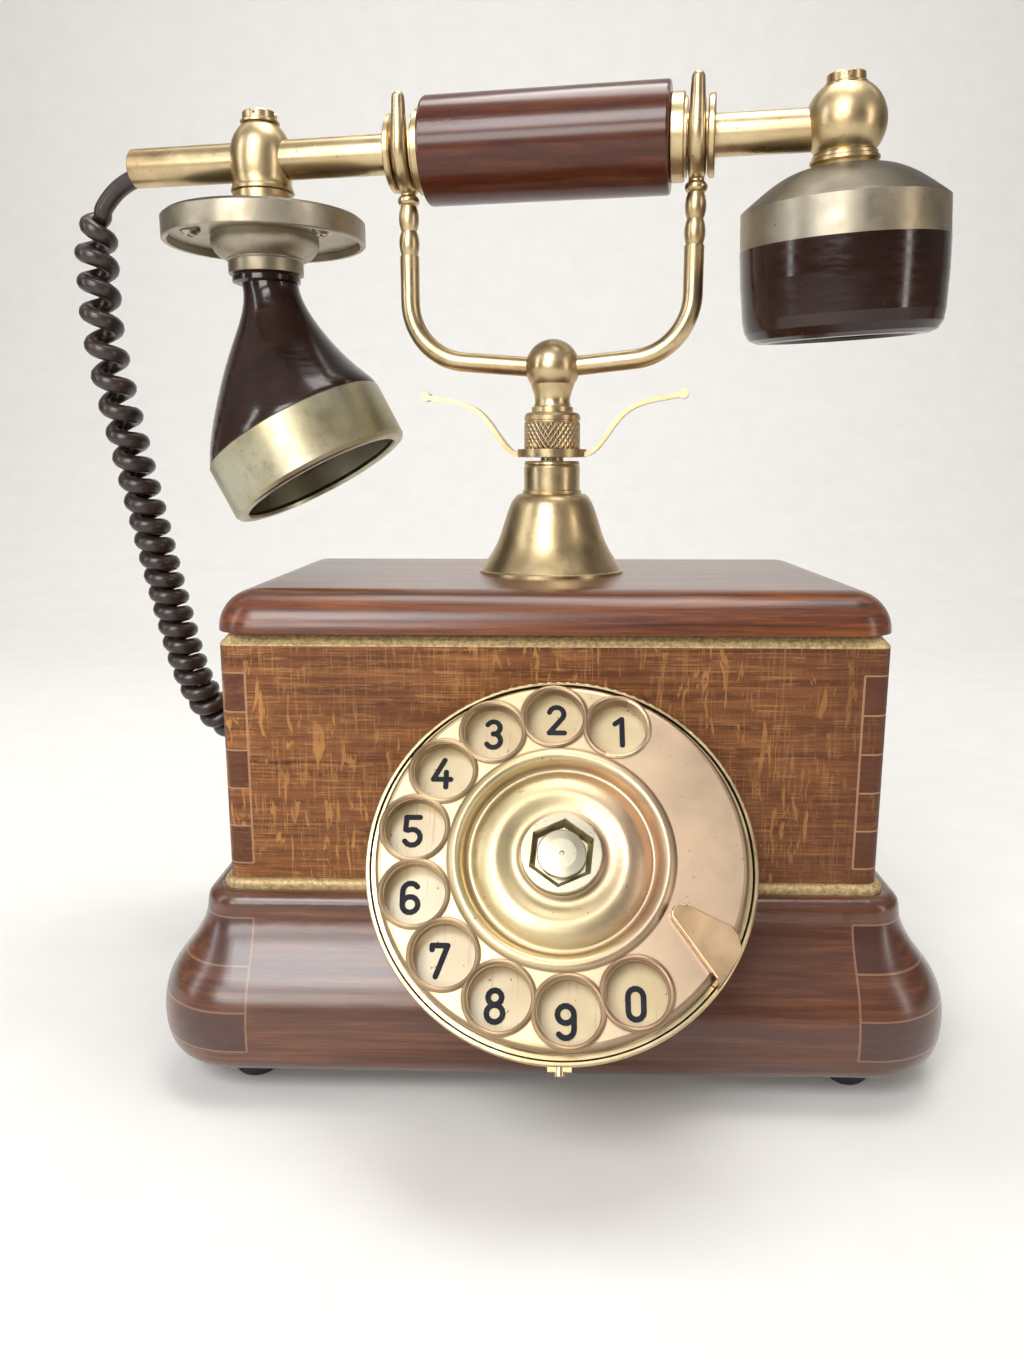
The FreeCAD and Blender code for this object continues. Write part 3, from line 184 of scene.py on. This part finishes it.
def add_floor():
    """Table that sweeps up behind the object into a plain pale backdrop."""
    profile = [(FLOOR_FRONT, 0.0), (SWEEP_START, 0.0)]
    for k in range(1, SWEEP_STEPS + 1):
        angle = math.radians(90 * k / SWEEP_STEPS)
        profile.append((SWEEP_START + SWEEP_RADIUS * math.sin(angle),
                        SWEEP_RADIUS * (1 - math.cos(angle))))
    profile.append((SWEEP_START + SWEEP_RADIUS, BACKDROP_TOP))
    mesh = bpy.data.meshes.new("floor")
    builder = bmesh.new()
    rows = []
    for y, z in profile:
        rows.append([builder.verts.new((x, y, z)) for x in (-FLOOR_HALF, FLOOR_HALF)])
    for a, b in zip(rows[:-1], rows[1:]):
        builder.faces.new((a[0], a[1], b[1], b[0]))
    builder.to_mesh(mesh)
    builder.free()
    mesh.shade_smooth()
    floor = bpy.data.objects.new("floor", mesh)
    bpy.context.scene.collection.objects.link(floor)
    paint = Paint("pale_floor")
    speckle = paint.noise(40, detail=3)
    tone = paint.ramp(speckle, ((0.3, (0.76, 0.75, 0.73)), (0.7, (0.79, 0.78, 0.76))))
    paint.finish(tone, roughness=0.7, specular=0.2)
    floor.data.materials.append(paint.material)


# ---- material kit ---------------------------------------------------------------------


class Paint:
    """A material in the making: adds nodes, links them and feeds one Principled shader."""

    def __init__(self, name):
        self.material = bpy.data.materials.new(name)
        self.material.use_nodes = True
        self.tree = self.material.node_tree
        self.shader = self.tree.nodes["Principled BSDF"]
        coordinates = self.tree.nodes.new("ShaderNodeTexCoord")
        self.place = coordinates.outputs["Object"]
        self.facing = coordinates.outputs["Normal"]

    def add(self, kind, inputs=(), **settings):
        """New node with some inputs fed and some settings changed."""
        made = self.tree.nodes.new("ShaderNode" + kind)
        for key, value in settings.items():
            setattr(made, key, value)
        for key, value in dict(inputs).items():
            self.feed(made.inputs[key], value)
        return made

    def feed(self, socket, value):
        """Link a socket or set its value; a colour may be given as three numbers."""
        if isinstance(value, bpy.types.NodeSocket):
            self.tree.links.new(value, socket)
        elif socket.type == "RGBA":
            socket.default_value = (*value[:3], 1)
        else:
            socket.default_value = value

    def moved(self, place=(0, 0, 0), turn=(0, 0, 0), scale=(1, 1, 1)):
        """Object coordinates moved, turned (degrees) and scaled."""
        angles = [math.radians(a) for a in turn]
        first = self.add("Mapping", {"Vector": self.place, "Location": [-v for v in place]})
        return self.add("Mapping", {"Vector": first.outputs[0], "Rotation": angles,
                                    "Scale": scale}).outputs[0]

    def noise(self, scale, place=None, detail=4, roughness=0.55, distortion=0):
        """Cloudy pattern between 0 and 1; a larger scale makes finer clouds."""
        inputs = {"Vector": place or self.place, "Scale": scale, "Detail": detail,
                  "Roughness": roughness, "Distortion": distortion}
        return self.add("TexNoise", inputs).outputs["Fac"]

    def ramp(self, value, stops, interpolation="LINEAR"):
        """Colour ramp over (position, colour) stops; a number stands for a grey."""
        node = self.add("ValToRGB", {"Fac": value})
        node.color_ramp.interpolation = interpolation
        while len(node.color_ramp.elements) < len(stops):
            node.color_ramp.elements.new(0.5)
        for element, (position, colour) in zip(node.color_ramp.elements, stops):
            if isinstance(colour, (int, float)):
                colour = (colour, colour, colour)
            element.position = position
            element.color = (*colour, 1)
        return node.outputs["Color"]

    def step(self, value, low, high):
        """0 below low, 1 above high, smooth between."""
        inputs = {"Value": value, "From Min": low, "From Max": high}
        return self.add("MapRange", inputs, interpolation_type="SMOOTHSTEP").outputs["Result"]

    def math(self, operation, a, b=0.0):
        """One arithmetic step on one or two values."""
        node = self.add("Math", operation=operation)
        self.feed(node.inputs[0], a)
        self.feed(node.inputs[1], b)
        return node.outputs[0]

    def times(self, a, b):
        """Product of two values."""
        return self.math("MULTIPLY", a, b)

    def invert(self, value):
        """1 minus value."""
        return self.math("SUBTRACT", 1.0, value)

    def near(self, value, target, reach):
        """1 where value is within reach of target, else 0."""
        return self.add("Math", {0: value, 1: target, 2: reach}, operation="COMPARE").outputs[0]

    def mix(self, factor, a, b):
        """Colour a, going over to colour b as the factor rises."""
        node = self.add("Mix", data_type="RGBA", blend_type="MIX")
        for index, value in ((0, factor), (6, a), (7, b)):
            self.feed(node.inputs[index], value)
        return node.outputs[2]

    def axis(self, index, vector=None):
        """One coordinate of a vector, by default of the place on the object."""
        node = self.add("SeparateXYZ", {"Vector": vector or self.place})
        return node.outputs[index]

    def finish(self, colour, roughness=0.5, metallic=0.0, height=None, depth=0.1,
               relief=0.2, coat=0.0, coat_roughness=0.1, specular=0.5):
        """Feed the shader; height is a bump pattern that stands depth millimetres proud."""
        values = {"Base Color": colour, "Roughness": roughness, "Metallic": metallic,
                  "Coat Weight": coat, "Coat Roughness": coat_roughness,
                  "Specular IOR Level": specular}
        for key, value in values.items():
            self.feed(self.shader.inputs[key], value)
        if height is not None:
            bump = self.add("Bump", {"Height": height, "Strength": relief,
                                     "Distance": depth * MM})
            self.feed(self.shader.inputs["Normal"], bump.outputs[0])
        return self.material


# ---- materials ------------------------------------------------------------------------


def joint_lines(paint, edge, heights):
    """Thin pale lines round the corner joints; edge and heights in millimetres."""
    across = paint.math("ABSOLUTE", paint.math("SUBTRACT", paint.axis(0), COLUMN.x))
    height = paint.axis(2)
    upright = paint.near(across, edge * MM, 0.25 * MM)
    inside = paint.times(paint.math("GREATER_THAN", height, heights[0] * MM),
                         paint.math("LESS_THAN", height, heights[-1] * MM))
    lines = paint.times(upright, inside)
    beyond = paint.math("GREATER_THAN", across, edge * MM)
    for level in heights:
        seam = paint.times(paint.near(height, level * MM, 0.2 * MM), beyond)
        lines = paint.math("MAXIMUM", lines, seam)
    return lines


def end_grain(paint, colour, along, dark):
    """Darken the faces where the board's fibres end."""
    facing = paint.math("ABSOLUTE", paint.axis(0 if along == "x" else 1, paint.facing))
    return paint.mix(paint.times(paint.step(facing, 0.6, 0.8), 0.75), colour, dark)


def ray_flecks(paint, along, lean, scale):
    """Mask of short wavy upright strokes that gather in patches."""
    stretch = (scale, 60, 105) if along == "x" else (60, scale, 105)
    turn = (0, lean, 0) if along == "x" else (lean, 0, 0)
    fleck = paint.noise(1.0, paint.moved(turn=turn, scale=stretch), detail=4, roughness=0.6,
                        distortion=0.8)
    patch = paint.step(paint.noise(scale / 11, detail=2), 0.38, 0.50)
    return paint.times(paint.step(fleck, 0.575, 0.625), patch)


def hairlines(paint, along, upright, low, high):
    """Mask of fine broken lines, level or upright."""
    level, rising = (2700, 110) if upright else (85, 3000)
    stretch = (level, 300, rising) if along == "x" else (300, level, rising)
    line = paint.noise(1.0, paint.moved(scale=stretch), detail=4, roughness=0.7)
    broken = paint.step(paint.noise(210, detail=2), 0.34, 0.56)
    return paint.times(paint.step(line, low, high), broken)


def oak(name, along):
    """Quarter-sawn oak: level grain, crossing hairlines, golden flecks, jointed corners, and
    painted shade that darkens the boards towards the right.
    """
    paint = Paint(name)
    light, mid, dark = (0.310, 0.122, 0.040), (0.175, 0.063, 0.021), (0.060, 0.020, 0.008)
    stretch = (26, 300, 900) if along == "x" else (300, 26, 900)
    grain = paint.noise(1.0, paint.moved(scale=stretch), detail=6, roughness=0.8)
    colour = paint.ramp(grain, ((0.34, dark), (0.5, mid), (0.66, light)))
    pale = (0.47, 0.225, 0.080)
    level = paint.times(hairlines(paint, along, False, 0.53, 0.60), 0.65)
    colour = paint.mix(level, colour, pale)
    cross = paint.times(hairlines(paint, along, True, 0.54, 0.61), 0.5)
    colour = paint.mix(cross, colour, pale)
    upper = paint.step(paint.axis(2), *FLECK_TURN)
    upright = paint.times(ray_flecks(paint, along, 4, 520), upper)
    slanted = paint.times(ray_flecks(paint, along, -24, 640), paint.invert(upper))
    mask = paint.times(paint.math("MAXIMUM", upright, slanted), 0.75)
    colour = paint.mix(mask, colour, (0.50, 0.235, 0.075))
    # Darker in random clouds, plus painted shade that darkens the boards towards the right (+X)
    cloud = paint.math("ADD", paint.step(paint.noise(20, detail=3), 0.35, 0.75),
                       paint.step(paint.axis(0), -0.03, 0.11))
    colour = paint.mix(paint.times(cloud, 0.45), colour, (0.085, 0.030, 0.014))
    colour = end_grain(paint, colour, along, (0.085, 0.030, 0.018))
    lines = paint.times(joint_lines(paint, BODY_JOINT, BODY_FINGERS), 0.6)
    colour = paint.mix(lines, colour, (0.46, 0.27, 0.15))
    roughness = paint.ramp(grain, ((0.3, 0.5), (0.7, 0.38)))
    return paint.finish(colour, roughness, height=grain, depth=0.05, relief=0.3, coat=0.04,
                        coat_roughness=0.25, specular=0.2)


def base_wood(name, along):
    """Dark stained moulding under gloss lacquer, with its corner joints."""
    paint = Paint(name)
    light, mid, dark = (0.200, 0.075, 0.032), (0.115, 0.038, 0.017), (0.050, 0.015, 0.009)
    stretch = (26, 260, 760) if along == "x" else (260, 26, 760)
    grain = paint.noise(1.0, paint.moved(scale=stretch), detail=6, roughness=0.7,
                        distortion=0.3)
    colour = paint.ramp(grain, ((0.32, dark), (0.52, mid), (0.70, light)))
    fine_stretch = (90, 1300, 2300) if along == "x" else (1300, 90, 2300)
    pores = paint.step(paint.noise(1.0, paint.moved(scale=fine_stretch), detail=3), 0.58, 0.7)
    colour = paint.mix(paint.times(pores, 0.55), colour, (0.045, 0.016, 0.010))
    cloud = paint.step(paint.noise(14, detail=2), 0.35, 0.7)
    colour = paint.mix(paint.times(cloud, 0.4), colour, dark)
    colour = end_grain(paint, colour, along, (0.050, 0.018, 0.013))
    lines = paint.times(joint_lines(paint, BASE_JOINT, BASE_FINGERS), 0.45)
    colour = paint.mix(lines, colour, (0.36, 0.20, 0.11))
    return paint.finish(colour, 0.34, height=grain, depth=0.05, relief=0.22, coat=0.8,
                        coat_roughness=0.24, specular=0.35)


def slab_wood():
    """Lid: reddish brown with orange and near-black streaks under a deep gloss."""
    paint = Paint("slab_wood")
    grain = paint.noise(1.0, paint.moved(scale=(22, 190, 620)), detail=6, roughness=0.75,
                        distortion=0.25)
    colour = paint.ramp(grain, ((0.32, (0.045, 0.012, 0.007)), (0.50, (0.125, 0.036, 0.014)),
                                (0.70, (0.240, 0.078, 0.024))))
    streak = paint.noise(1.0, paint.moved(place=(0.1, 0, 0), scale=(16, 120, 1500)), detail=4)
    colour = paint.mix(paint.times(paint.step(streak, 0.60, 0.66), 0.7), colour,
                       (0.020, 0.007, 0.006))
    return paint.finish(colour, 0.30, height=grain, depth=0.03, relief=0.12, coat=0.55,
                        coat_roughness=0.26, specular=0.3)


def mahogany():
    """Grip: deep red-brown under thick varnish, with a run in the varnish at its left end."""
    paint = Paint("mahogany")
    turn = (0, 0, -CRADLE_YAW)
    grain = paint.noise(1.0, paint.moved(place=GRIP, turn=turn, scale=(18, 260, 520)),
                        detail=6, roughness=0.68, distortion=0.3)
    colour = paint.ramp(grain, ((0.32, (0.040, 0.008, 0.004)), (0.52, (0.075, 0.017, 0.006)),
                                (0.72, (0.120, 0.030, 0.010))))
    spot = paint.moved(place=GRIP, turn=turn)
    along = paint.near(paint.axis(0, spot), RUN_ALONG, RUN_HALF_LENGTH)
    band = paint.near(paint.axis(2, spot), RUN_UP, RUN_HALF_HEIGHT)
    front = paint.math("LESS_THAN", paint.axis(1, spot), 0.0)
    run = paint.times(paint.times(along, band), front)
    ripple = paint.noise(1.0, paint.moved(scale=(350, 350, 1100)), detail=2, distortion=1.5)
    swell = paint.times(run, ripple)
    height = paint.math("ADD", paint.times(grain, 0.12), swell)
    return paint.finish(colour, 0.28, height=height, depth=0.35, relief=0.35, coat=0.45,
                        coat_roughness=0.16, specular=0.25)


def brass(name, pale, deep, stain, rough=(0.26, 0.42), stained=0.4, relief=0.06,
          height=None, edges=None, blend=None):
    """Aged metal: uneven tone, with brown stain in patches and in specks. The stain colour also
    goes where edges says, as painted shade, and blend, where given, sets the tone, on the finger
    wheel as a painted reflection.
    """
    paint = Paint(name)
    cloud = blend(paint) if blend else paint.noise(50, detail=4, roughness=0.6)
    colour = paint.ramp(cloud, ((0.35, deep), (0.65, pale)))
    patch = paint.step(paint.noise(110, detail=6, roughness=0.72), 0.55, 0.72)
    speck = paint.step(paint.noise(1000, detail=2), 0.70, 0.76)
    mask = paint.math("MAXIMUM", paint.times(patch, stained), speck)
    if edges:
        mask = paint.math("MAXIMUM", mask, edges(paint))
    colour = paint.mix(mask, colour, stain)
    texture = height(paint) if height else paint.noise(900, detail=3, roughness=0.7)
    roughness = paint.ramp(paint.noise(140, detail=4), ((0.3, rough[0]), (0.7, rough[1])))
    depth = 0.25 if height else 0.02
    return paint.finish(colour, roughness, metallic=1.0, height=texture, depth=depth,
                        relief=relief)


def diamond_knurl(paint):
    """Crossed ridges round the column's axis below the collar's smooth band."""
    spot = paint.moved(place=COLUMN)
    angle = paint.add("Math", {0: paint.axis(1, spot), 1: paint.axis(0, spot)},
                      operation="ARCTAN2").outputs[0]
    round_part = paint.times(angle, KNURLS_ROUND)
    rise = paint.times(paint.axis(2, spot), KNURLS_UP)
    left = paint.math("SINE", paint.math("ADD", round_part, rise))
    right = paint.math("SINE", paint.math("SUBTRACT", round_part, rise))
    ridges = paint.math("MAXIMUM", left, right)
    below = paint.math("LESS_THAN", paint.axis(2, spot), KNURL_TOP)
    return paint.times(ridges, below)


def painted_shade_on_tops(paint):
    """Painted shade: darkens the faces that look up towards the stain colour."""
    return paint.times(paint.step(paint.axis(2, paint.facing), 0.3, 0.75), 0.85)


def wheel_painted_reflection(paint):
    """Painted reflection: a blend that runs from yellow on the wheel's left to copper on its
    right.
    """
    across = paint.math("SUBTRACT", paint.axis(0), HUB.x)
    left = paint.invert(paint.step(across, -0.015, 0.030))
    cloud = paint.noise(45, detail=4, roughness=0.6)
    return paint.math("ADD", paint.times(left, 0.45), paint.times(cloud, 0.55))


def wheel_tarnish_and_shade(paint):
    """Brown tarnish mixed with painted shade round the finger holes, beside the bead and at the
    rim.
    """
    spot = paint.moved(place=HUB, turn=(DIAL_TILT, 0, 0), scale=(1000, 1000, 1000))
    across, up = paint.axis(0, spot), paint.axis(2, spot)
    flat = paint.add("CombineXYZ", {"X": across, "Y": up}).outputs[0]
    reach = paint.add("VectorMath", {0: flat}, operation="LENGTH").outputs["Value"]
    angle = paint.add("Math", {0: up, 1: across}, operation="ARCTAN2").outputs[0]
    count = paint.math("DIVIDE", paint.math("SUBTRACT", angle, FIRST_HOLE), HOLE_STEP)
    turned = paint.add("Math", {0: count, 1: 2 * math.pi / HOLE_STEP, 2: 0.0},
                       operation="WRAP").outputs[0]
    nearest = paint.add("Math", {0: turned}, operation="ROUND").outputs[0]
    hole = paint.math("MINIMUM", nearest, LAST_HOLE)
    off = paint.times(paint.math("SUBTRACT", turned, hole), HOLE_STEP)
    side = paint.times(reach, paint.math("SINE", off))
    ahead = paint.math("SUBTRACT", paint.times(reach, paint.math("COSINE", off)), HOLE_CIRCLE)
    gap = paint.math("SQRT", paint.math("ADD", paint.times(side, side),
                                        paint.times(ahead, ahead)))
    from_rim = paint.math("ABSOLUTE", paint.math("SUBTRACT", gap, HOLE_RIM))
    mask = paint.invert(paint.step(from_rim, 0.5, 1.0))
    for radius, width in DARK_RINGS:
        away = paint.math("ABSOLUTE", paint.math("SUBTRACT", reach, radius))
        mask = paint.math("MAXIMUM", mask, paint.invert(paint.step(away, 0.0, width)))
    return paint.times(mask, 0.72)


def wheel_pits(paint):
    """Fine casting pits with faint long scratches."""
    pits = paint.noise(1500, detail=4, roughness=0.75)
    scratch = paint.noise(1.0, paint.moved(turn=(0, 0, 35), scale=(900, 60, 60)), detail=2)
    return paint.math("ADD", paint.times(pits, 0.12), paint.times(scratch, 0.05))


def bakelite():
    """Dark brown moulded resin, glossy, with a faint swirl, dust and hairline scratches."""
    paint = Paint("bakelite")
    swirl = paint.noise(30, detail=4, distortion=1.2)
    colour = paint.ramp(swirl, ((0.35, (0.014, 0.006, 0.005)), (0.65, (0.032, 0.014, 0.010))))
    dust = paint.step(paint.noise(1300, detail=2), 0.73, 0.77)
    colour = paint.mix(paint.times(dust, 0.5), colour, (0.16, 0.12, 0.09))
    hair = paint.noise(1.0, paint.moved(scale=(200, 200, 1200)), detail=3)
    roughness = paint.ramp(hair, ((0.35, 0.12), (0.7, 0.26)))
    return paint.finish(colour, roughness, height=swirl, depth=0.05, relief=0.08, coat=0.1,
                        coat_roughness=0.08, specular=0.4)


def enamel():
    """Cream number plate: clouded, speckled and scratched, with a red speck by the nought."""
    paint = Paint("enamel")
    cloud = paint.noise(60, detail=4)
    colour = paint.ramp(cloud, ((0.35, (0.68, 0.53, 0.30)), (0.65, (0.78, 0.65, 0.41))))
    speck = paint.step(paint.noise(620, detail=3), 0.69, 0.73)
    colour = paint.mix(speck, colour, (0.22, 0.12, 0.05))
    scratch = paint.noise(1.0, paint.moved(turn=(0, 25, 0), scale=(1500, 60, 60)), detail=3)
    colour = paint.mix(paint.times(paint.step(scratch, 0.62, 0.68), 0.35), colour,
                       (0.40, 0.27, 0.14))
    far = paint.add("VectorMath", {0: paint.place, 1: HUB + RED_SPECK},
                    operation="DISTANCE").outputs["Value"]
    red = paint.math("LESS_THAN", far, RED_RADIUS)
    colour = paint.mix(red, colour, (0.42, 0.035, 0.02))
    return paint.finish(colour, 0.35, height=scratch, depth=0.02, relief=0.15, coat=0.2)


def plain(name, dark, light, scale, roughness, metallic=0.0, relief=0.2, coat=0.0):
    """Two tones mixed by a noise, with a matching bump."""
    paint = Paint(name)
    cloud = paint.noise(scale, detail=5, roughness=0.6)
    colour = paint.ramp(cloud, ((0.35, dark), (0.65, light)))
    rough = paint.ramp(cloud, ((0.3, roughness * 0.8), (0.7, min(1.0, roughness * 1.2))))
    return paint.finish(colour, rough, metallic=metallic, height=cloud, depth=0.05,
                        relief=relief, coat=coat)


def gilt():
    """Gold paint, grainy and uneven."""
    paint = Paint("gilt")
    grain = paint.noise(1100, detail=3, roughness=0.7)
    colour = paint.ramp(grain, ((0.3, (0.26, 0.17, 0.07)), (0.55, (0.52, 0.38, 0.18)),
                                (0.75, (0.70, 0.56, 0.32))))
    return paint.finish(colour, 0.5, metallic=0.35, height=grain, depth=0.08, relief=0.4)


def build_materials():
    """Every material, by name."""
    stain = (0.22, 0.125, 0.060)
    return {
        "oak_x": oak("oak_x", "x"),
        "oak_y": oak("oak_y", "y"),
        "base_wood_x": base_wood("base_wood_x", "x"),
        "base_wood_y": base_wood("base_wood_y", "y"),
        "slab_wood": slab_wood(),
        "mahogany": mahogany(),
        "gilt": gilt(),
        "brass": brass("brass", (0.66, 0.53, 0.32), (0.52, 0.38, 0.20), stain),
        "green_brass": brass("green_brass", (0.54, 0.53, 0.40), (0.44, 0.38, 0.23), stain,
                             rough=(0.30, 0.46)),
        # Dull brass: its dark stain colour marks patches and specks, and is painted shade on faces
        # that look up
        "dull_brass": brass("dull_brass", (0.46, 0.42, 0.34), (0.34, 0.28, 0.19),
                            (0.055, 0.045, 0.030), rough=(0.34, 0.52), stained=0.2,
                            edges=painted_shade_on_tops),
        "copper_brass": brass("copper_brass", (0.66, 0.46, 0.28), (0.52, 0.34, 0.19), stain,
                              rough=(0.26, 0.40), stained=0.25),
        "knurled_brass": brass("knurled_brass", (0.58, 0.45, 0.28), (0.44, 0.32, 0.18), stain,
                               relief=0.9, height=diamond_knurl),
        # Finger wheel: its left-to-right tone is a painted reflection; its dark rings are tarnish
        # with painted shade
        "wheel_brass": brass("wheel_brass", (0.62, 0.51, 0.30), (0.52, 0.38, 0.26),
                             (0.26, 0.16, 0.10), rough=(0.36, 0.48), stained=0.12,
                             relief=0.35, height=wheel_pits, edges=wheel_tarnish_and_shade,
                             blend=wheel_painted_reflection),
        "nickel": brass("nickel", (0.52, 0.48, 0.36), (0.44, 0.38, 0.27), (0.25, 0.17, 0.10),
                        rough=(0.26, 0.38), stained=0.1),
        "bakelite": bakelite(),
        "enamel": enamel(),
        "ink": plain("ink", (0.006, 0.007, 0.012), (0.012, 0.014, 0.024), 600, 0.8),
        "capsule": plain("capsule", (0.015, 0.012, 0.01), (0.035, 0.03, 0.025), 300, 0.5),
        "rubber": plain("rubber", (0.010, 0.010, 0.014), (0.022, 0.022, 0.028), 400, 0.6),
        "steel": plain("steel", (0.42, 0.41, 0.40), (0.58, 0.57, 0.55), 200, 0.35, 1.0, 0.1),
        "winding": plain("winding", (0.22, 0.06, 0.02), (0.34, 0.11, 0.04), 500, 0.35),
        "cord": plain("cord", (0.018, 0.009, 0.007), (0.038, 0.020, 0.015), 250, 0.36,
                      coat=0.2),
    }


LOOKS = {
    "oak_x": ("front_board", "back_board"),
    "oak_y": ("left_board", "right_board"),
    "slab_wood": ("top_slab",),
    "base_wood_x": ("base_front", "base_back"),
    "base_wood_y": ("base_left", "base_right"),
    "mahogany": ("grip",),
    "gilt": ("gilt_cove", "gilt_bead"),
    "brass": ("column_bell", "wing_ring", "cradle_ball", "fork_rod", "fork_beads",
              "cradle_prongs", "dial_cup", "dial_ring", "handset_tube",
              "grip_spools", "mouth_ball", "ear_ball", "ball_nuts", "ringer_gongs"),
    "copper_brass": ("finger_stop",),
    "knurled_brass": ("knurled_collar",),
    "green_brass": ("horn_band",),
    "dull_brass": ("ear_cap", "mouth_disc", "mouth_boss"),
    "wheel_brass": ("finger_wheel",),
    "nickel": ("wheel_hub", "mouth_screws", "plunger_rod"),
    "bakelite": ("horn", "ear_cup"),
    "enamel": ("number_plate",),
    "ink": ("dial_digits",),
    "capsule": ("receiver_capsule", "transmitter_capsule", "terminal_block",
                "line_cord_gland", "handset_cord_gland"),
    "rubber": ("rubber_feet",),
    "steel": ("floor_plate", "hook_lever", "hook_contacts", "dial_chassis", "main_gear",
              "idle_gear", "governor", "ringer_motor", "ringer_clapper"),
    "winding": ("induction_coil",),
    "cord": ("cord_tail", "cord_coil", "cord_end"),
}


def dress_nodes(materials):
    """Give every CAD node its material."""
    for look, nodes in LOOKS.items():
        for node in nodes:
            slots = NODES[node].data.materials
            slots.clear()
            slots.append(materials[look])


# ---- cord -----------------------------------------------------------------------------

# Control points of the cord's route from the column's foot, in millimetres: out of the
# handset tube, down the curls, round behind the case and into the rear gland
LEAD_POINTS = ((-95.73, 15.68, 221.4), (-111.51, 18.26, 221.3), (-124.64, 20.41, 210.2))
CURL_POINTS = ((-124.64, 20.41, 194.0), (-124.64, 20.41, 178.0), (-121.5, 28.5, 146.0),
               (-116.6, 35.3, 108.0), (-110.5, 41.5, 70.0), (-97.5, 55.0, 57.0),
               (-86.0, 67.0, 41.0), (-71.2, 77.5, 28.2), (-55.5, 82.7, 24.3))
END_POINTS = ((-39.8, 87.9, 20.4), (-26.0, 78.0, 20.8), (-26.0, 58.0, 21.0))

# Curls, in millimetres: the height where they start, the pitch low down, how much more it is
# where they are slackest, how far along that is, and over what length it eases off
CURL_TOP = 212.5
CLOSED_CURL = 5.3
SLACK_CURL = 3.1
SLACKEST = 38
SLACK_REACH = 36


def route_line(points):
    """Places along the smooth NURBS line with these control points."""
    curve = bpy.data.curves.new("route", "CURVE")
    curve.dimensions = "3D"
    curve.resolution_u = 40
    spline = curve.splines.new("NURBS")
    spline.points.add(len(points) - 1)
    for point, place in zip(spline.points, points):
        point.co = (*place, 1)
    spline.order_u = 3
    spline.use_endpoint_u = True
    holder = bpy.data.objects.new("route", curve)
    bpy.context.scene.collection.objects.link(holder)
    bpy.context.view_layer.update()
    graph = bpy.context.evaluated_depsgraph_get()
    line = bpy.data.meshes.new_from_object(holder.evaluated_get(graph))
    places = [vertex.co.copy() for vertex in line.vertices]
    bpy.data.objects.remove(holder)
    bpy.data.curves.remove(curve)
    bpy.data.meshes.remove(line)
    return places


def evenly(places, step):
    """The same line with points every step metres."""
    out = [places[0].copy()]
    need = step
    for a, b in zip(places[:-1], places[1:]):
        length = (b - a).length
        walked = 0.0
        while length - walked > need:
            walked += need
            out.append(a.lerp(b, walked / length))
            need = step
        need -= length - walked
    out.append(places[-1].copy())
    return out


def travelling_frames(places):
    """Each place with its side and rise, turned as little as possible along the line."""
    frames = []
    side = Vector((-1, 0, 0))
    for k, place in enumerate(places):
        ahead = places[min(k + 1, len(places) - 1)]
        behind = places[max(k - 1, 0)]
        heading = (ahead - behind).normalized()
        side = (side - heading * side.dot(heading)).normalized()
        frames.append((place, side, heading.cross(side)))
    return frames


def smooth(value):
    """Eased step from 0 to 1 as value goes from 0 to 1."""
    value = min(1.0, max(0.0, value))
    return value * value * (3 - 2 * value)


def curl_pitch(along):
    """Rise of one curl: slack near the handset, closed up lower down."""
    slack = SLACK_CURL * math.exp(-((along / MM - SLACKEST) / SLACK_REACH) ** 2)
    return (CLOSED_CURL + slack) * MM


def curled_line():
    """Centre line of the wire: straight lead, curls of uneven pitch, straight end."""
    points = [COLUMN + Vector(p) * MM for p in LEAD_POINTS + CURL_POINTS + END_POINTS]
    step = 0.25 * MM
    frames = travelling_frames(evenly(route_line(points), step))
    start = next(k for k, f in enumerate(frames) if f[0].z < CURL_TOP * MM) * step
    last = points[-len(END_POINTS) - 1]
    stop = min(range(len(frames)), key=lambda k: (frames[k][0] - last).length) * step
    turn = 0.0
    line = []
    for k, (place, side, rise) in enumerate(frames):
        along = k * step - start
        left = stop - k * step
        swell = smooth(along / (9 * MM)) * smooth(left / (12 * MM))
        radius = (CURL - WIRE) / 2 * swell
        if 0 < along and 0 < left:
            turn += 2 * math.pi * step / curl_pitch(along)
        line.append(place + radius * (math.cos(turn) * side - math.sin(turn) * rise))
    return line


def tube(name, line, radius, sides=12):
    """Round tube mesh along a line, closed at both ends."""
    mesh = bpy.data.meshes.new(name)
    builder = bmesh.new()
    rings = []
    for place, side, rise in travelling_frames(line):
        ring = []
        for k in range(sides):
            angle = 2 * math.pi * k / sides
            offset = math.cos(angle) * side + math.sin(angle) * rise
            ring.append(builder.verts.new(place + radius * offset))
        rings.append(ring)
    for a, b in zip(rings[:-1], rings[1:]):
        for k in range(sides):
            builder.faces.new((a[k], a[(k + 1) % sides], b[(k + 1) % sides], b[k]))
    builder.faces.new(rings[0][::-1])
    builder.faces.new(rings[-1])
    bmesh.ops.recalc_face_normals(builder, faces=builder.faces)
    builder.to_mesh(mesh)
    builder.free()
    mesh.shade_smooth()
    made = bpy.data.objects.new(name, mesh)
    bpy.context.scene.collection.objects.link(made)
    return made


def length_of(line):
    """Length of a line of places."""
    return sum((b - a).length for a, b in zip(line[:-1], line[1:]))


def add_cord(materials):
    """The whole handset cord in one piece, from inside the tube to the rear gland."""
    line = evenly(curled_line(), 0.8 * MM)
    cord = tube("curly_cord", line, WIRE / 2)
    cord.data.materials.append(materials["cord"])
    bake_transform(cord)
    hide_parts("cord_tail", "cord_coil", "cord_end")
    print("cord length %.0f mm" % (length_of(line) / MM))


# ---- making ---------------------------------------------------------------------------


def main():
    """Camera, light, floor, a material on every node, and the curled cord."""
    add_camera()
    add_world()
    add_lights()
    materials = build_materials()
    add_floor()
    dress_nodes(materials)
    add_cord(materials)


main()
